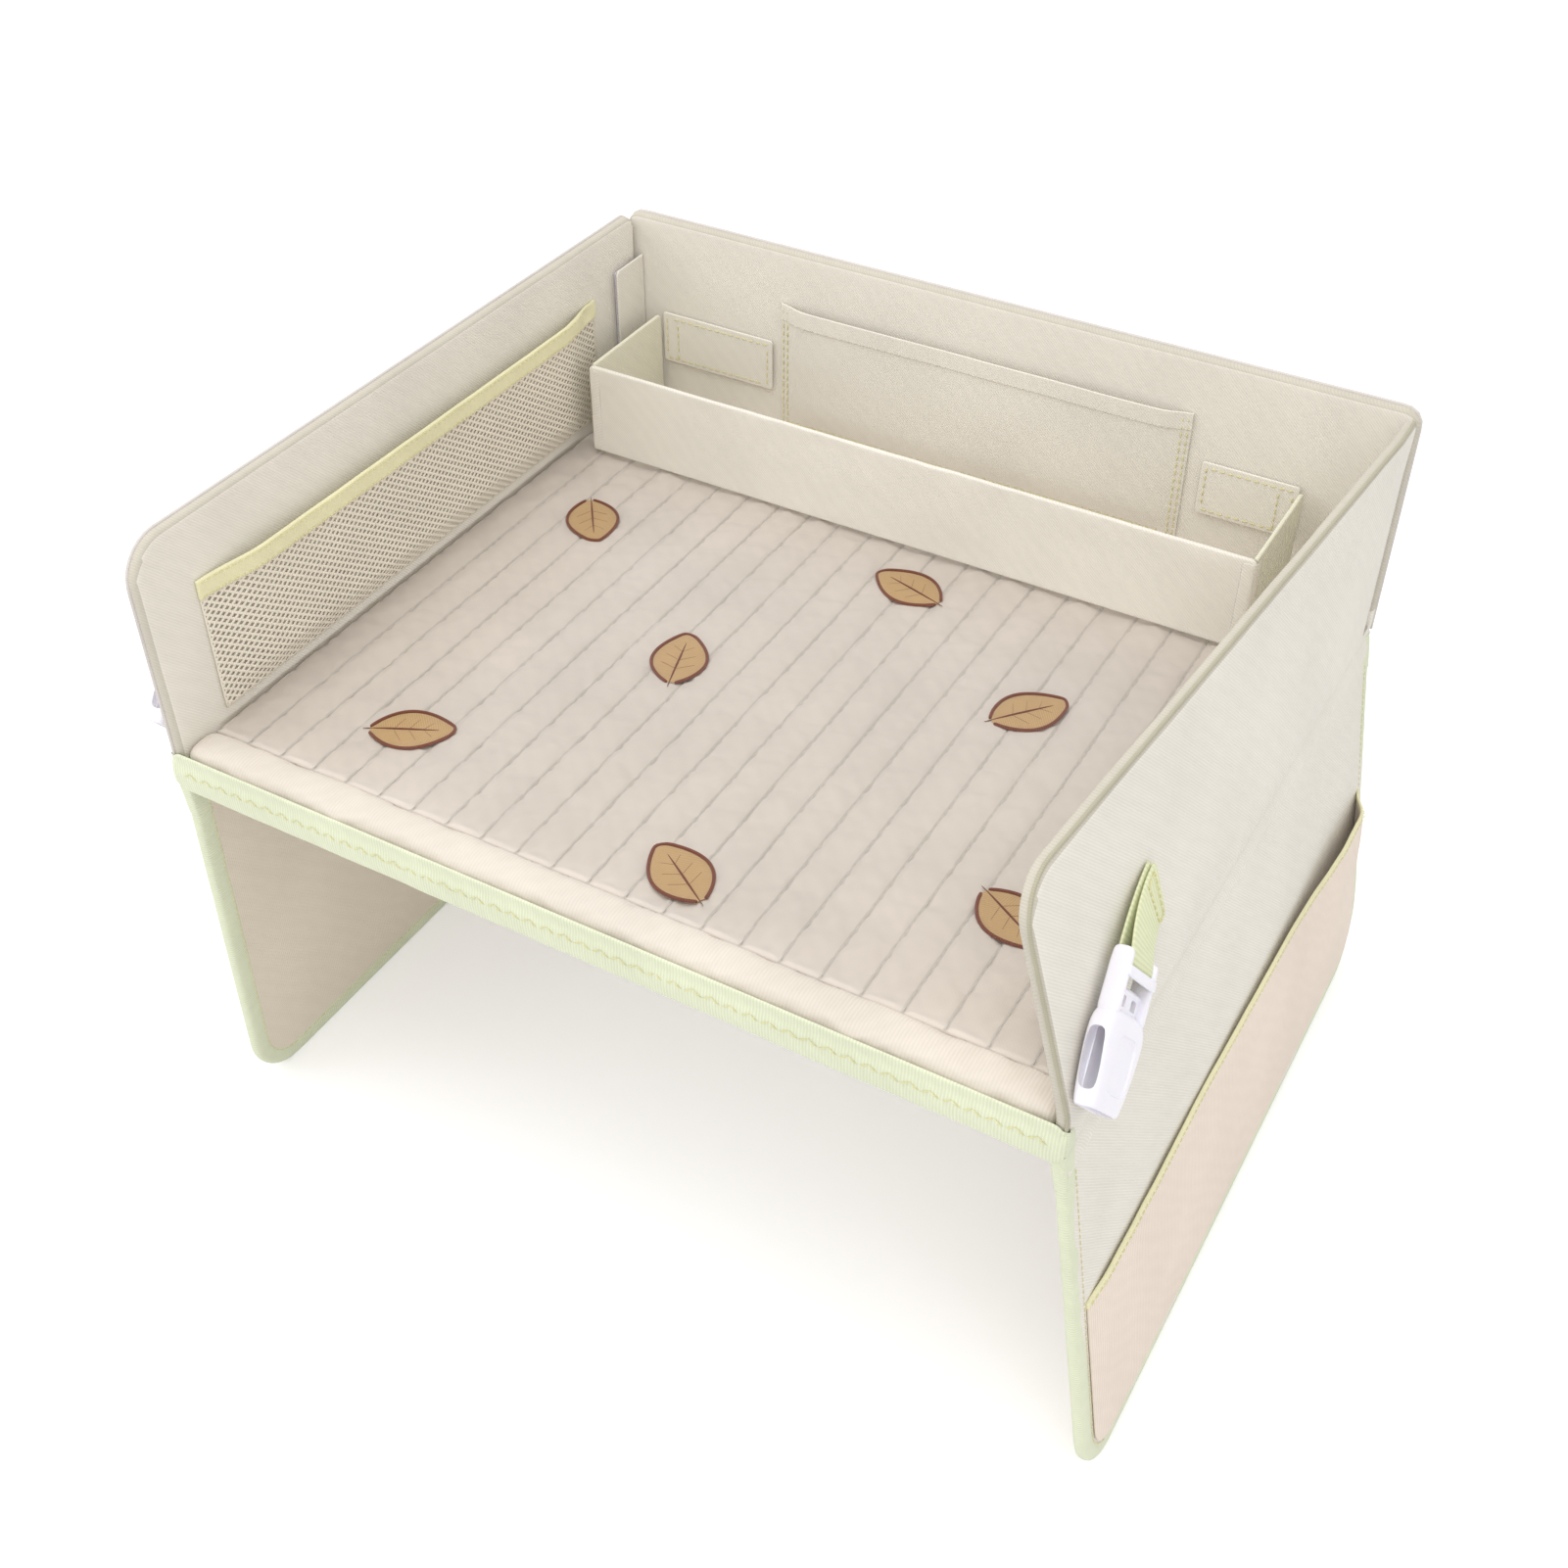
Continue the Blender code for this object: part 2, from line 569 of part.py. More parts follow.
def add_side_wall(side):
    """Make a side wall with its fold, its loop tape and, on the left, its net pocket."""
    name = SIDE_NAMES[side] + "_wall"
    hinge = make_hinge(name + "_fold", (side * WALL_AXIS_X, 0, WALL_AXIS_Z), tray)
    surface = side_wall_surface(side)

    def columns_with(inset):
        return rounded_columns(FRONT_Y, SIDE_WALL_REAR_Y, WALL_HEIGHT, WALL_FRONT_CORNER,
                               WALL_REAR_CORNER, inset, inset, LEAN_START_Y)

    add_wall(name, columns_with, bent_on(surface), WALL_ROW_SHARES, False, hinge)
    rod(name + "_fold_piping", (side * WALL_AXIS_X, FRONT_Y, WALL_AXIS_Z),
        (side * WALL_AXIS_X, SIDE_WALL_REAR_Y - REAR_SLOT, WALL_AXIS_Z), WALL_FOLD_RADIUS, ROD_SIDES,
        "cream_fabric", hinge)
    tape_start = BACK_INNER_Y - EAR_REACH + TAPE_MARGIN
    tape_end = SIDE_WALL_REAR_Y - REAR_SLOT - TAPE_MARGIN
    tape_x = HALF_WIDTH - WALL_THICKNESS - TOUCH_GAP
    span = sorted((side * tape_x, side * (tape_x - TAPE_THICKNESS)))
    block(name + "_loop_tape", (span[0], tape_start, TOP_Z + EAR_LOW + TAPE_MARGIN),
          (span[1], tape_end, TOP_Z + EAR_LOW + EAR_HEIGHT - TAPE_MARGIN), "hook_tape", hinge)
    if side == LEFT:
        add_mesh_pocket(hinge)
    add_strap_fastening(side, hinge)


def add_back_wall():
    """Make the back wall with its fold, stitched pocket, corner ears and the box tabs' tapes."""
    hinge = make_hinge("back_wall_fold", (0, BACK_AXIS_Y, WALL_AXIS_Z), tray)

    def columns_with(inset):
        return rounded_columns(-HALF_WIDTH, HALF_WIDTH, WALL_HEIGHT, WALL_REAR_CORNER,
                               WALL_REAR_CORNER, inset, inset)

    add_wall("back_wall", columns_with, on(back_wall_surface), (0.0, 1.0), True, hinge)
    rod("back_wall_fold_piping", (-HALF_WIDTH, BACK_AXIS_Y, WALL_AXIS_Z),
        (HALF_WIDTH, BACK_AXIS_Y, WALL_AXIS_Z), WALL_FOLD_RADIUS, ROD_SIDES, "cream_fabric", hinge)

    start = tab_span(LEFT)[1] + BACK_POCKET_LEFT_GAP
    end = tab_span(RIGHT)[0] - BACK_POCKET_RIGHT_GAP
    gap = pocket_gap(start, end, BACK_POCKET_TAPER, BACK_POCKET_GAPE)

    low, high = WALL_TRAY_UP + BACK_POCKET_LOW, WALL_TRAY_UP + BACK_POCKET_TOP

    def pocket_place(column, share, depth):
        return back_wall_surface(column, low + share * (high - low),
                                 WALL_THICKNESS + TOUCH_GAP + gap(column, share) + depth)

    sheet("back_pocket", pocket_stations(start, end, BACK_POCKET_TAPER), POCKET_ROW_SHARES,
          pocket_place, (0.0, CLOTH_THICKNESS), "cream_fabric", hinge)

    tape_x = HALF_WIDTH - WALL_THICKNESS - TOUCH_GAP - TAPE_THICKNESS - TOUCH_GAP
    ear_low, ear_high = TOP_Z + EAR_LOW, TOP_Z + EAR_LOW + EAR_HEIGHT
    ear_front = BACK_INNER_Y - EAR_REACH
    for side in (LEFT, RIGHT):
        tape_span = sorted((side * tape_x, side * (tape_x - TAPE_THICKNESS)))
        ear_x = tape_x - TAPE_THICKNESS - TOUCH_GAP
        ear_span = sorted((side * ear_x, side * (ear_x - EAR_THICKNESS)))
        block(SIDE_NAMES[side] + "_corner_ear", (ear_span[0], ear_front, ear_low),
              (ear_span[1], BACK_INNER_Y - TOUCH_GAP, ear_high), "cream_fabric", hinge)
        block(SIDE_NAMES[side] + "_ear_hook_tape", (tape_span[0], ear_front + TAPE_MARGIN,
                                                    ear_low + TAPE_MARGIN),
              (tape_span[1], BACK_INNER_Y - TOUCH_GAP, ear_high - TAPE_MARGIN), "hook_tape", hinge)
        tab_start, tab_end = tab_span(side)
        block(SIDE_NAMES[side] + "_tab_loop_tape",
              (tab_start + TAPE_MARGIN, TAB_TAPE_Y, BOX_Z + TAB_LOW + TAPE_MARGIN),
              (tab_end - TAPE_MARGIN, BACK_INNER_Y - TOUCH_GAP, BOX_Z + TAB_LOW + TAB_HEIGHT - TAPE_MARGIN),
              "hook_tape", hinge)


def tab_span(side):
    """Return where a box tab starts and ends across the back wall."""
    if side == LEFT:
        root = BOX_LEFT_X + BOX_END + TAB_END_GAP
        return root, root + LEFT_TAB_LENGTH
    root = BOX_RIGHT_X - BOX_END - TAB_END_GAP
    return root - RIGHT_TAB_LENGTH, root


def add_storage_box():
    """Make the box's front panel, its two ends and the tabs that hold them to the back wall."""
    front = make_hinge("storage_box_fold", (0, BOX_FRONT_Y, BOX_Z), tray)
    block("box_front_panel", (BOX_LEFT_X, BOX_FRONT_Y, BOX_Z),
          (BOX_RIGHT_X, BOX_BACK_Y, BOX_Z + BOX_HEIGHT), "cream_fabric", front)
    end_front = BOX_BACK_Y + END_SWING_GAP
    end_rear = TAB_Y - TOUCH_GAP
    for side, edge in ((LEFT, BOX_LEFT_X), (RIGHT, BOX_RIGHT_X)):
        name = SIDE_NAMES[side]
        span = sorted((edge, edge - side * BOX_END))
        axis = (edge - side * BOX_END / 2, end_front + BOX_END / 2, BOX_Z)
        fold = make_hinge("box_" + name + "_end_fold", axis, front)
        block("box_" + name + "_end", (span[0], end_front, BOX_Z),
              (span[1], end_rear, BOX_Z + BOX_HEIGHT), "cream_fabric", fold)
        tab_start, tab_end = tab_span(side)
        root = tab_start if side == LEFT else tab_end
        peel = make_hinge("box_" + name + "_tab_peel", (root, TAB_Y + TAB_THICKNESS / 2, BOX_Z), fold)
        block("box_" + name + "_tab", (tab_start, TAB_Y, BOX_Z + TAB_LOW),
              (tab_end, TAB_Y + TAB_THICKNESS, BOX_Z + TAB_LOW + TAB_HEIGHT), "cream_fabric", peel)


def add_flap(side):
    """Make a flap: covers over a board, the edge binding round them, and an outer pocket."""
    name = SIDE_NAMES[side] + "_flap"
    hinge = make_hinge(name + "_fold", (side * FLAP_AXIS_X, 0, FLAP_AXIS_Z), tray)
    surface = flap_surface(side)
    start, end = FRONT_Y + FLAP_END_INSET, REAR_Y - FLAP_END_INSET
    rod(name + "_fold_piping", (side * FLAP_AXIS_X, start, FLAP_AXIS_Z),
        (side * FLAP_AXIS_X, end, FLAP_AXIS_Z), FLAP_FOLD_RADIUS, ROD_SIDES, "cream_fabric", hinge)

    inset = FLAP_BINDING_WIDTH + TOUCH_GAP
    panel = rounded_columns(start, end, FLAP_LENGTH, FLAP_FRONT_CORNER, FLAP_REAR_CORNER, inset,
                            FLAP_PANEL_START)
    ends = (0.0, 1.0)
    board_near = FLAP_COVER + TOUCH_GAP
    board_far = board_near + FLAP_BOARD
    layers = (("outer_cover", (0.0, FLAP_COVER), "pocket_fabric"),
              ("board", (board_near, board_far), "board"),
              ("inner_cover", (board_far + TOUCH_GAP, FLAP_THICKNESS), "inner_fabric"))
    for layer, depths, colour in layers:
        sheet(name + "_" + layer, panel, ends, on(surface), depths, colour, hinge, (True, True))

    outer = rounded_columns(start, end, FLAP_LENGTH, FLAP_FRONT_CORNER, FLAP_REAR_CORNER)
    inner = rounded_columns(start, end, FLAP_LENGTH, FLAP_FRONT_CORNER, FLAP_REAR_CORNER,
                            FLAP_BINDING_WIDTH)
    rail = [((start, FLAP_PANEL_START), (start + FLAP_BINDING_WIDTH, FLAP_PANEL_START))]
    rail += [((a[0], a[2]), (b[0], b[2])) for a, b in zip(outer, inner)]
    rail.append(((end, FLAP_PANEL_START), (end - FLAP_BINDING_WIDTH, FLAP_PANEL_START)))

    def rail_place(column, share, depth):
        (outer_along, outer_down), (inner_along, inner_down) = column
        along = outer_along + share * (inner_along - outer_along)
        return surface(along, outer_down + share * (inner_down - outer_down), depth)

    sheet(name + "_binding", rail, ends, rail_place,
          (-FLAP_BINDING_PROUD, FLAP_THICKNESS + FLAP_BINDING_PROUD), "green_binding", hinge)
    add_flap_pocket(name, surface, start + inset, end - inset, hinge)


def add_flap_pocket(name, surface, start, end, hinge):
    """Make the cloth pocket on a flap's outer face and the thin binding on its mouth."""
    gap = pocket_gap(start, end, FLAP_POCKET_TAPER, FLAP_POCKET_GAPE)
    outline = rounded_columns(start, end, FLAP_LENGTH - FLAP_BINDING_WIDTH - TOUCH_GAP,
                              FLAP_FRONT_CORNER - FLAP_BINDING_WIDTH - TOUCH_GAP,
                              FLAP_REAR_CORNER - FLAP_BINDING_WIDTH - TOUCH_GAP)

    def pocket_place(column, share, depth):
        along, _, low_edge = column
        return surface(along, low_edge + share * (FLAP_POCKET_MOUTH - low_edge),
                       -(TOUCH_GAP + gap(along, share) + depth))

    sheet(name + "_pocket", outline, POCKET_ROW_SHARES, pocket_place, (0.0, CLOTH_THICKNESS),
          "pocket_fabric", hinge)

    def binding_place(column, share, depth):
        down = FLAP_POCKET_MOUTH - TOUCH_GAP - share * FLAP_POCKET_BINDING
        return surface(column, down, -(TOUCH_GAP + gap(column, MOUTH_SHARE) + depth))

    sheet(name + "_pocket_binding", pocket_stations(start, end, FLAP_POCKET_TAPER), (0.0, 1.0),
          binding_place, (0.0, FLAP_POCKET_BINDING_THICKNESS), "yellow_binding", hinge)


def strap_frame(side):
    """Return the frame at the buckle's bar: X to the socket's mouth, Y across, Z off the wall."""
    surface = side_wall_surface(side)
    along, rise = FRONT_Y + BUCKLE_ALONG, WALL_TRAY_UP + BUCKLE_RISE
    spot = surface(along, rise, 0.0)
    up = (surface(along, WALL_HEIGHT, 0.0) - spot).normalized()
    back = (surface(0.0, rise, 0.0) - spot).normalized()
    out = side * back.cross(up).normalized()
    ahead = (-back * math.cos(BUCKLE_DROOP) - up * math.sin(BUCKLE_DROOP)).normalized()
    across = out.cross(ahead)
    spot += out * (BUCKLE_THICKNESS / 2 + BUCKLE_WALL_GAP)
    return Matrix.Translation(spot) @ Matrix((ahead, across, out)).transposed().to_4x4()


def settle(piece, frame):
    """Move a piece's mesh from a frame's own axes into place."""
    piece.data.transform(frame)


def add_strap_fastening(side, wall_hinge):
    """Make the webbing loop and the buckle's socket half on a side wall."""
    name = SIDE_NAMES[side]
    frame = strap_frame(side)
    wall_level = -BUCKLE_THICKNESS / 2 - BUCKLE_WALL_GAP
    seam = Vector((-WEBBING_LENGTH, 0, wall_level + SEAM_WALL_GAP + WEBBING_THICKNESS))
    swing = make_hinge(name + "_webbing_swing", frame @ seam, wall_hinge)
    pivot = make_hinge(name + "_buckle_pivot", frame.translation, swing)
    add_webbing(name, frame, seam, swing)
    add_buckle(name, frame, pivot)


def add_webbing(name, frame, seam, hinge):
    """Fold a strip of webbing round the buckle's bar, its two ends lying together at the seam."""
    wrap = BUCKLE_BAR_RADIUS + TOUCH_GAP
    outer, inner = wrap + WEBBING_THICKNESS, wrap
    apart = TOUCH_GAP / 2
    length = seam.length
    lead = math.asin((wrap - apart) / length)
    angles = [(math.pi / 2 + lead) * (2 * step / WRAP_STEPS - 1) for step in range(WRAP_STEPS + 1)]
    outline = [(-length, -apart - WEBBING_THICKNESS)]
    outline += [(outer * math.cos(angle), outer * math.sin(angle)) for angle in angles]
    outline += [(-length, apart + WEBBING_THICKNESS), (-length, apart)]
    outline += [(inner * math.cos(angle), inner * math.sin(angle)) for angle in reversed(angles)]
    outline.append((-length, -apart))
    half = WEBBING_WIDTH / 2
    mesh = bmesh.new()
    face = mesh.faces.new([mesh.verts.new((x, -half, z)) for x, z in outline])
    grown = bmesh.ops.extrude_face_region(mesh, geom=[face])
    moved = [item for item in grown["geom"] if isinstance(item, bmesh.types.BMVert)]
    bmesh.ops.translate(mesh, vec=(0, WEBBING_WIDTH, 0), verts=moved)
    webbing = object_from(name + "_webbing", mesh, "green_binding", hinge)
    slope = math.atan2(seam.z, -seam.x)
    settle(webbing, frame @ Matrix.Rotation(slope, 4, "Y"))


def add_buckle(name, frame, hinge):
    """Make the socket: a ladder of two bars, a tapered body, a socket and its side windows."""
    half_body, half_mouth = BUCKLE_WIDTH / 2, BUCKLE_MOUTH_WIDTH / 2
    taper_start = (BUCKLE_BODY_START + 2 * BUCKLE_LENGTH) / 3
    outline = [(BUCKLE_BODY_START, -half_body + BUCKLE_EDGE), (BUCKLE_BODY_START + BUCKLE_EDGE, -half_body),
               (taper_start, -half_body), (BUCKLE_LENGTH, -half_mouth)]
    outline += [(ahead, -across) for ahead, across in reversed(outline)]
    mesh = bmesh.new()
    half_thick = BUCKLE_THICKNESS / 2
    face = mesh.faces.new([mesh.verts.new((x, y, -half_thick)) for x, y in outline])
    grown = bmesh.ops.extrude_face_region(mesh, geom=[face])
    moved = [item for item in grown["geom"] if isinstance(item, bmesh.types.BMVert)]
    bmesh.ops.translate(mesh, vec=(0, 0, BUCKLE_THICKNESS), verts=moved)
    body = object_from(name + "_buckle_socket", mesh, "white_plastic", hinge)
    edge = body.modifiers.new("edges", "BEVEL")
    edge.width = BUCKLE_EDGE
    edge.segments = 2

    arm_inner = WEBBING_WIDTH / 2 + TOUCH_GAP
    arm_outer = arm_inner + BUCKLE_ARM_WIDTH
    half_arm = BUCKLE_ARM_THICKNESS / 2
    overlap = BUCKLE_BODY_START + BUCKLE_EDGE
    joined, cuts = [], []
    for turn in (-1, 1):
        span = sorted((turn * arm_inner, turn * arm_outer))
        joined.append(block(name + "_arm_%d" % (turn + 1), (-half_arm, span[0], -half_arm),
                            (overlap, span[1], half_arm), "white_plastic", hinge))
    for place_along in (0.0, BUCKLE_SECOND_BAR):
        reach = arm_inner + BUCKLE_ARM_WIDTH / 2
        joined.append(rod(name + "_bar", (place_along, -reach, 0), (place_along, reach, 0),
                          BUCKLE_BAR_RADIUS, BAR_SIDES, "white_plastic", hinge))
    cuts.append(block(name + "_socket_space",
                      (BUCKLE_BODY_START + SOCKET_FLOOR, -SOCKET_WIDTH / 2, -SOCKET_HEIGHT / 2),
                      (BUCKLE_LENGTH + CUT_OVERRUN, SOCKET_WIDTH / 2, SOCKET_HEIGHT / 2),
                      "white_plastic", hinge))
    cuts.append(block(name + "_window_space", (WINDOW_START, -half_body - CUT_OVERRUN, -WINDOW_HEIGHT / 2),
                      (WINDOW_END, half_body + CUT_OVERRUN, WINDOW_HEIGHT / 2), "white_plastic", hinge))
    for piece in (body, *joined, *cuts):
        settle(piece, frame)
    for piece in joined:
        boolean(body, piece, "UNION")
    for piece in cuts:
        boolean(body, piece, "DIFFERENCE")


def stand_on_origin(frame):
    """Move the whole table so that its box stands on the floor plane, centred on the origin."""
    bpy.context.view_layer.update()
    shape = bpy.context.evaluated_depsgraph_get()
    corners = []
    for piece in bpy.data.objects:
        if piece.type == "MESH" and not piece.hide_render:
            seen = piece.evaluated_get(shape)
            corners += [piece.matrix_world @ vertex.co for vertex in seen.data.vertices]
    low = [min(corner[axis] for corner in corners) for axis in range(3)]
    high = [max(corner[axis] for corner in corners) for axis in range(3)]
    frame.location = (-(low[0] + high[0]) / 2, -(low[1] + high[1]) / 2, -low[2])
    bpy.context.view_layer.update()


for leftover in list(bpy.data.objects):
    bpy.data.objects.remove(leftover, do_unlink=True)

tray = make_hinge("tray_frame", (0, 0, 0))
add_base()
add_quilted_pad()
add_front_roll()
for wall_side in (LEFT, RIGHT):
    add_side_wall(wall_side)
    add_flap(wall_side)
add_back_wall()
add_storage_box()
stand_on_origin(tray)
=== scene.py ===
"""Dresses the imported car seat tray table: sewn covers, quilting, net, bindings, stitches and buckles."""

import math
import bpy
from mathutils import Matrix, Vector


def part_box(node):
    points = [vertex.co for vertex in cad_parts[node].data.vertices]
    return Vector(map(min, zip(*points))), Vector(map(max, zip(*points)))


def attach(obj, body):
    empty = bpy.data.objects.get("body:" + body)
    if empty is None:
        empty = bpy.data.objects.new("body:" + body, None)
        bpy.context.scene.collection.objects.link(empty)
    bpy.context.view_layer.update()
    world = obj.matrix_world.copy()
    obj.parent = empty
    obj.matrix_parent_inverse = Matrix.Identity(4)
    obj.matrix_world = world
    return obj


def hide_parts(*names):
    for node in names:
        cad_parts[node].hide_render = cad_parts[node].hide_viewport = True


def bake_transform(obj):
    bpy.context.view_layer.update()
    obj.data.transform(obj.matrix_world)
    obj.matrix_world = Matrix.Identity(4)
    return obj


bl_info = {
    "name": "Car Seat Tray Table",
    "version": (1, 0, 0),
    "blender": (4, 5, 0),
    "location": "View3D > Sidebar > Tray Table",
    "description": "Dresses the packed car seat tray table in its cloth, net, bindings and fittings",
    "category": "Object",
}

import bmesh
import bpy
from bpy.props import FloatProperty, FloatVectorProperty, IntProperty, PointerProperty
from bpy.types import Operator, Panel, PropertyGroup
from mathutils import Matrix, Vector, noise

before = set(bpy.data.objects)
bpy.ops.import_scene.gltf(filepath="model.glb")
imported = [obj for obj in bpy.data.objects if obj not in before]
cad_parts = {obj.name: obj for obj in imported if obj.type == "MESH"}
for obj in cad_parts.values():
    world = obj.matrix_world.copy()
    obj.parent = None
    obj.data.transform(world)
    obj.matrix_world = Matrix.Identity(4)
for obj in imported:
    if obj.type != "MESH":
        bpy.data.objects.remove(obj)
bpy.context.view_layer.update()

SIDES = {"left": -1, "right": 1}

# Tray stack, in metres up from the floor. The child sits at -Y
HALF_WIDTH = 0.200
FRONT_Y = -0.178
UNDER_Z = 0.1899
BOARD_Z = 0.1914
TOP_Z = 0.2070
PAD_HALF_WIDTH = 0.194
PAD_FRONT_Y = -0.1577
PAD_REAR_Y = 0.1720
FILM_Z = 0.2074
FILM_REAR_Y = 0.1125
ROLL_DEPTH = 0.020
ROLL_TOP_Z = 0.2096

# Walls
WALL_THICKNESS = 0.0057
WALL_FOOT_Z = 0.1959
WALL_LOW_UP = UNDER_Z - WALL_FOOT_Z
WALL_TRAY_UP = TOP_Z - WALL_FOOT_Z
WALL_BEND_UP = 0.0139
WALL_HEIGHT = 0.1081
WALL_FRONT_CORNER = 0.019
WALL_REAR_CORNER = 0.008
WALL_FRONT_LEAN = {"left": -0.003, "right": 0.026}
SIDE_WALL_REAR_Y = 0.1720
REAR_Y = 0.178
REAR_SLOT = {"left": 0.0015, "right": 0.0105}
REAR_SLOT_TOP = 0.026
LEAN_START_Y = 0.1463
SEAM_DEPTH = 0.0011
# The painted shade of the cloth's turned rim starts from here up
RIM_SHADE_FROM = 0.001

# Pockets, box and tabs
MESH_START, MESH_END = -0.150, 0.130
MESH_LOW, MESH_TOP = WALL_TRAY_UP + 0.005, WALL_TRAY_UP + 0.059
MESH_GAPE = 0.0046
MESH_TAPER = 0.036
# The width of a net yarn as a share of its cell
NET_YARN = 0.24
BACK_POCKET = (-0.110, 0.103)
BACK_POCKET_UP = (WALL_TRAY_UP + 0.004, WALL_TRAY_UP + 0.070)
BACK_POCKET_GAPE = 0.0042
BACK_POCKET_TAPER = 0.014
BOX_X = (-0.181, 0.159)
BOX_Y = (0.1053, 0.1078)
BOX_Z = (0.2080, 0.2545)
BOX_END_Y = (0.1083, 0.1691)

# Flaps
FLAP_AXIS_X = 0.1974
FLAP_AXIS_Z = 0.187
FLAP_THICKNESS = 0.0052
FLAP_SPLAY = {"left": 0.0, "right": math.radians(9)}
FLAP_START, FLAP_END = -0.177, 0.177
FLAP_TOP_DOWN = 0.0029
FLAP_FRONT_CORNER = 0.024
FLAP_REAR_CORNER = 0.036
FLAP_MOUTH = 0.088
FLAP_GAPE = 0.0070
FLAP_TAPER = 0.018
FLAP_FOOT_UP = -0.187
FLAP_PANEL_FOOT_UP = -0.1855
FLAP_PANEL_INSET = 0.0015
FLAP_POCKET_FOOT_UP = -0.1782
FLAP_POCKET_INSET = 0.0088
FLAP_BINDING_WIDTH = 0.0086

# Strap fastening
BUCKLE_ALONG = 0.048
BUCKLE_RISE = 0.033
BUCKLE_DROOP = math.radians(37)
BUCKLE_THICKNESS = 0.0105
BUCKLE_WALL_GAP = 0.0015
WEBBING_LENGTH = 0.034
WEBBING_HALF_WIDTH = 0.01125
WEBBING_THICKNESS = 0.0013
WEBBING_TURN = 0.60
RECESS_X = 0.0345

# Band on the front roll
BAND_HALF_LENGTH = 0.200
BAND_LOW, BAND_HIGH = 0.1874, 0.2067
BAND_FACE_Y = -0.1795

# The photograph's camera, fitted to the tray's corners
PHOTO_WIDTH_PIXELS = 1601
PHOTO_FOCAL_PIXELS = 1992.63
SENSOR_WIDTH = 36.0
CAMERA_PLACE = (0.3222, -0.5932, 0.7199)
CAMERA_AZIMUTH, CAMERA_ELEVATION, CAMERA_ROLL = 29.3, 40.61, 0.41

board_low, board_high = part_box("base_board")
ORIGIN = Vector(((board_low.x + board_high.x) / 2, board_high.y - PAD_REAR_Y, 0))


def linear(code):
    """Turn an sRGB hex colour into linear red, green and blue."""
    parts = [int(code[i:i + 2], 16) / 255 for i in (0, 2, 4)]
    return tuple(p / 12.92 if p <= 0.04045 else ((p + 0.055) / 1.055) ** 2.4 for p in parts)


def colour_property(title, code, text):
    return FloatVectorProperty(name=title, description=text, subtype="COLOR", size=3, min=0, max=1,
                               default=linear(code))


class TrayColours(PropertyGroup):
    cover: colour_property("Cover", "ECE7DC", "Woven cover of the walls, the box and the roll")
    lining: colour_property("Flap lining", "EADFCD", "Woven lining on the flaps' inner faces")
    quilt: colour_property("Quilt", "E6DDD3", "Brushed cloth of the quilted top")
    pocket: colour_property("Flap pocket", "EEDFD0", "Ribbed cloth of the flaps' outer faces")
    green: colour_property("Edge binding", "E4E9CC", "Ribbed binding on the flaps and the front")
    yellow: colour_property("Pocket binding", "EEE9C0", "Flat binding on the pockets' mouths")
    net: colour_property("Net", "F4EBDA", "Knitted net of the wall pocket")
    thread: colour_property("Thread", "E3DCA4", "Sewing thread of the visible seams")
    buckle: colour_property("Buckle", "F1EFF7", "Moulded side release buckle")
    leaf: colour_property("Leaf patch", "DBB987", "Embroidered fill of the leaf patches")
    outline: colour_property("Leaf outline", "8A4A33", "Embroidered edge and vein of the leaves")


class TraySizes(PropertyGroup):
    thread: FloatProperty(name="Twill spacing", description="Distance between the cover's twill lines",
                          default=0.0011, min=0.0003, unit="LENGTH")
    rib: FloatProperty(name="Binding rib", description="Distance between the ribs of the bindings",
                       default=0.0013, min=0.0003, unit="LENGTH")
    channel: FloatProperty(name="Channel", description="Distance between the quilt's seams",
                           default=0.01687, min=0.008, unit="LENGTH")
    channel_depth: FloatProperty(name="Channel depth", description="Depth of the seams in the quilt",
                                 default=0.0023, min=0.0, unit="LENGTH")
    net_cell: FloatProperty(name="Net cell", description="Length of one cell of the net",
                            default=0.0047, min=0.002, unit="LENGTH")
    stitch: FloatProperty(name="Stitch", description="Length of one visible stitch",
                          default=0.0030, min=0.001, unit="LENGTH")
    leaf: FloatProperty(name="Leaf length", description="Length of a leaf patch on the quilt",
                        default=0.036, min=0.01, unit="LENGTH")
    sim_frames: IntProperty(name="Cloth frames", description="Frames that the padding settles for",
                            default=20, min=1, max=60)


# Materials

def add(tree, kind, sockets=None, **settings):
    """Add a node with its settings. A socket's value is a number, a colour or the output that feeds it."""
    node = tree.nodes.new("ShaderNode" + kind)
    for key, value in settings.items():
        setattr(node, key, value)
    for key, value in (sockets or {}).items():
        if isinstance(value, bpy.types.NodeSocket):
            tree.links.new(value, node.inputs[key])
        else:
            node.inputs[key].default_value = value
    return node


def new_material(name):
    """Return an empty material and its tree."""
    material = bpy.data.materials.new(name)
    material.use_nodes = True
    material.node_tree.nodes.clear()
    return material, material.node_tree


def shade(colour, factor):
    return (*[min(1.0, c * factor) for c in colour], 1.0)


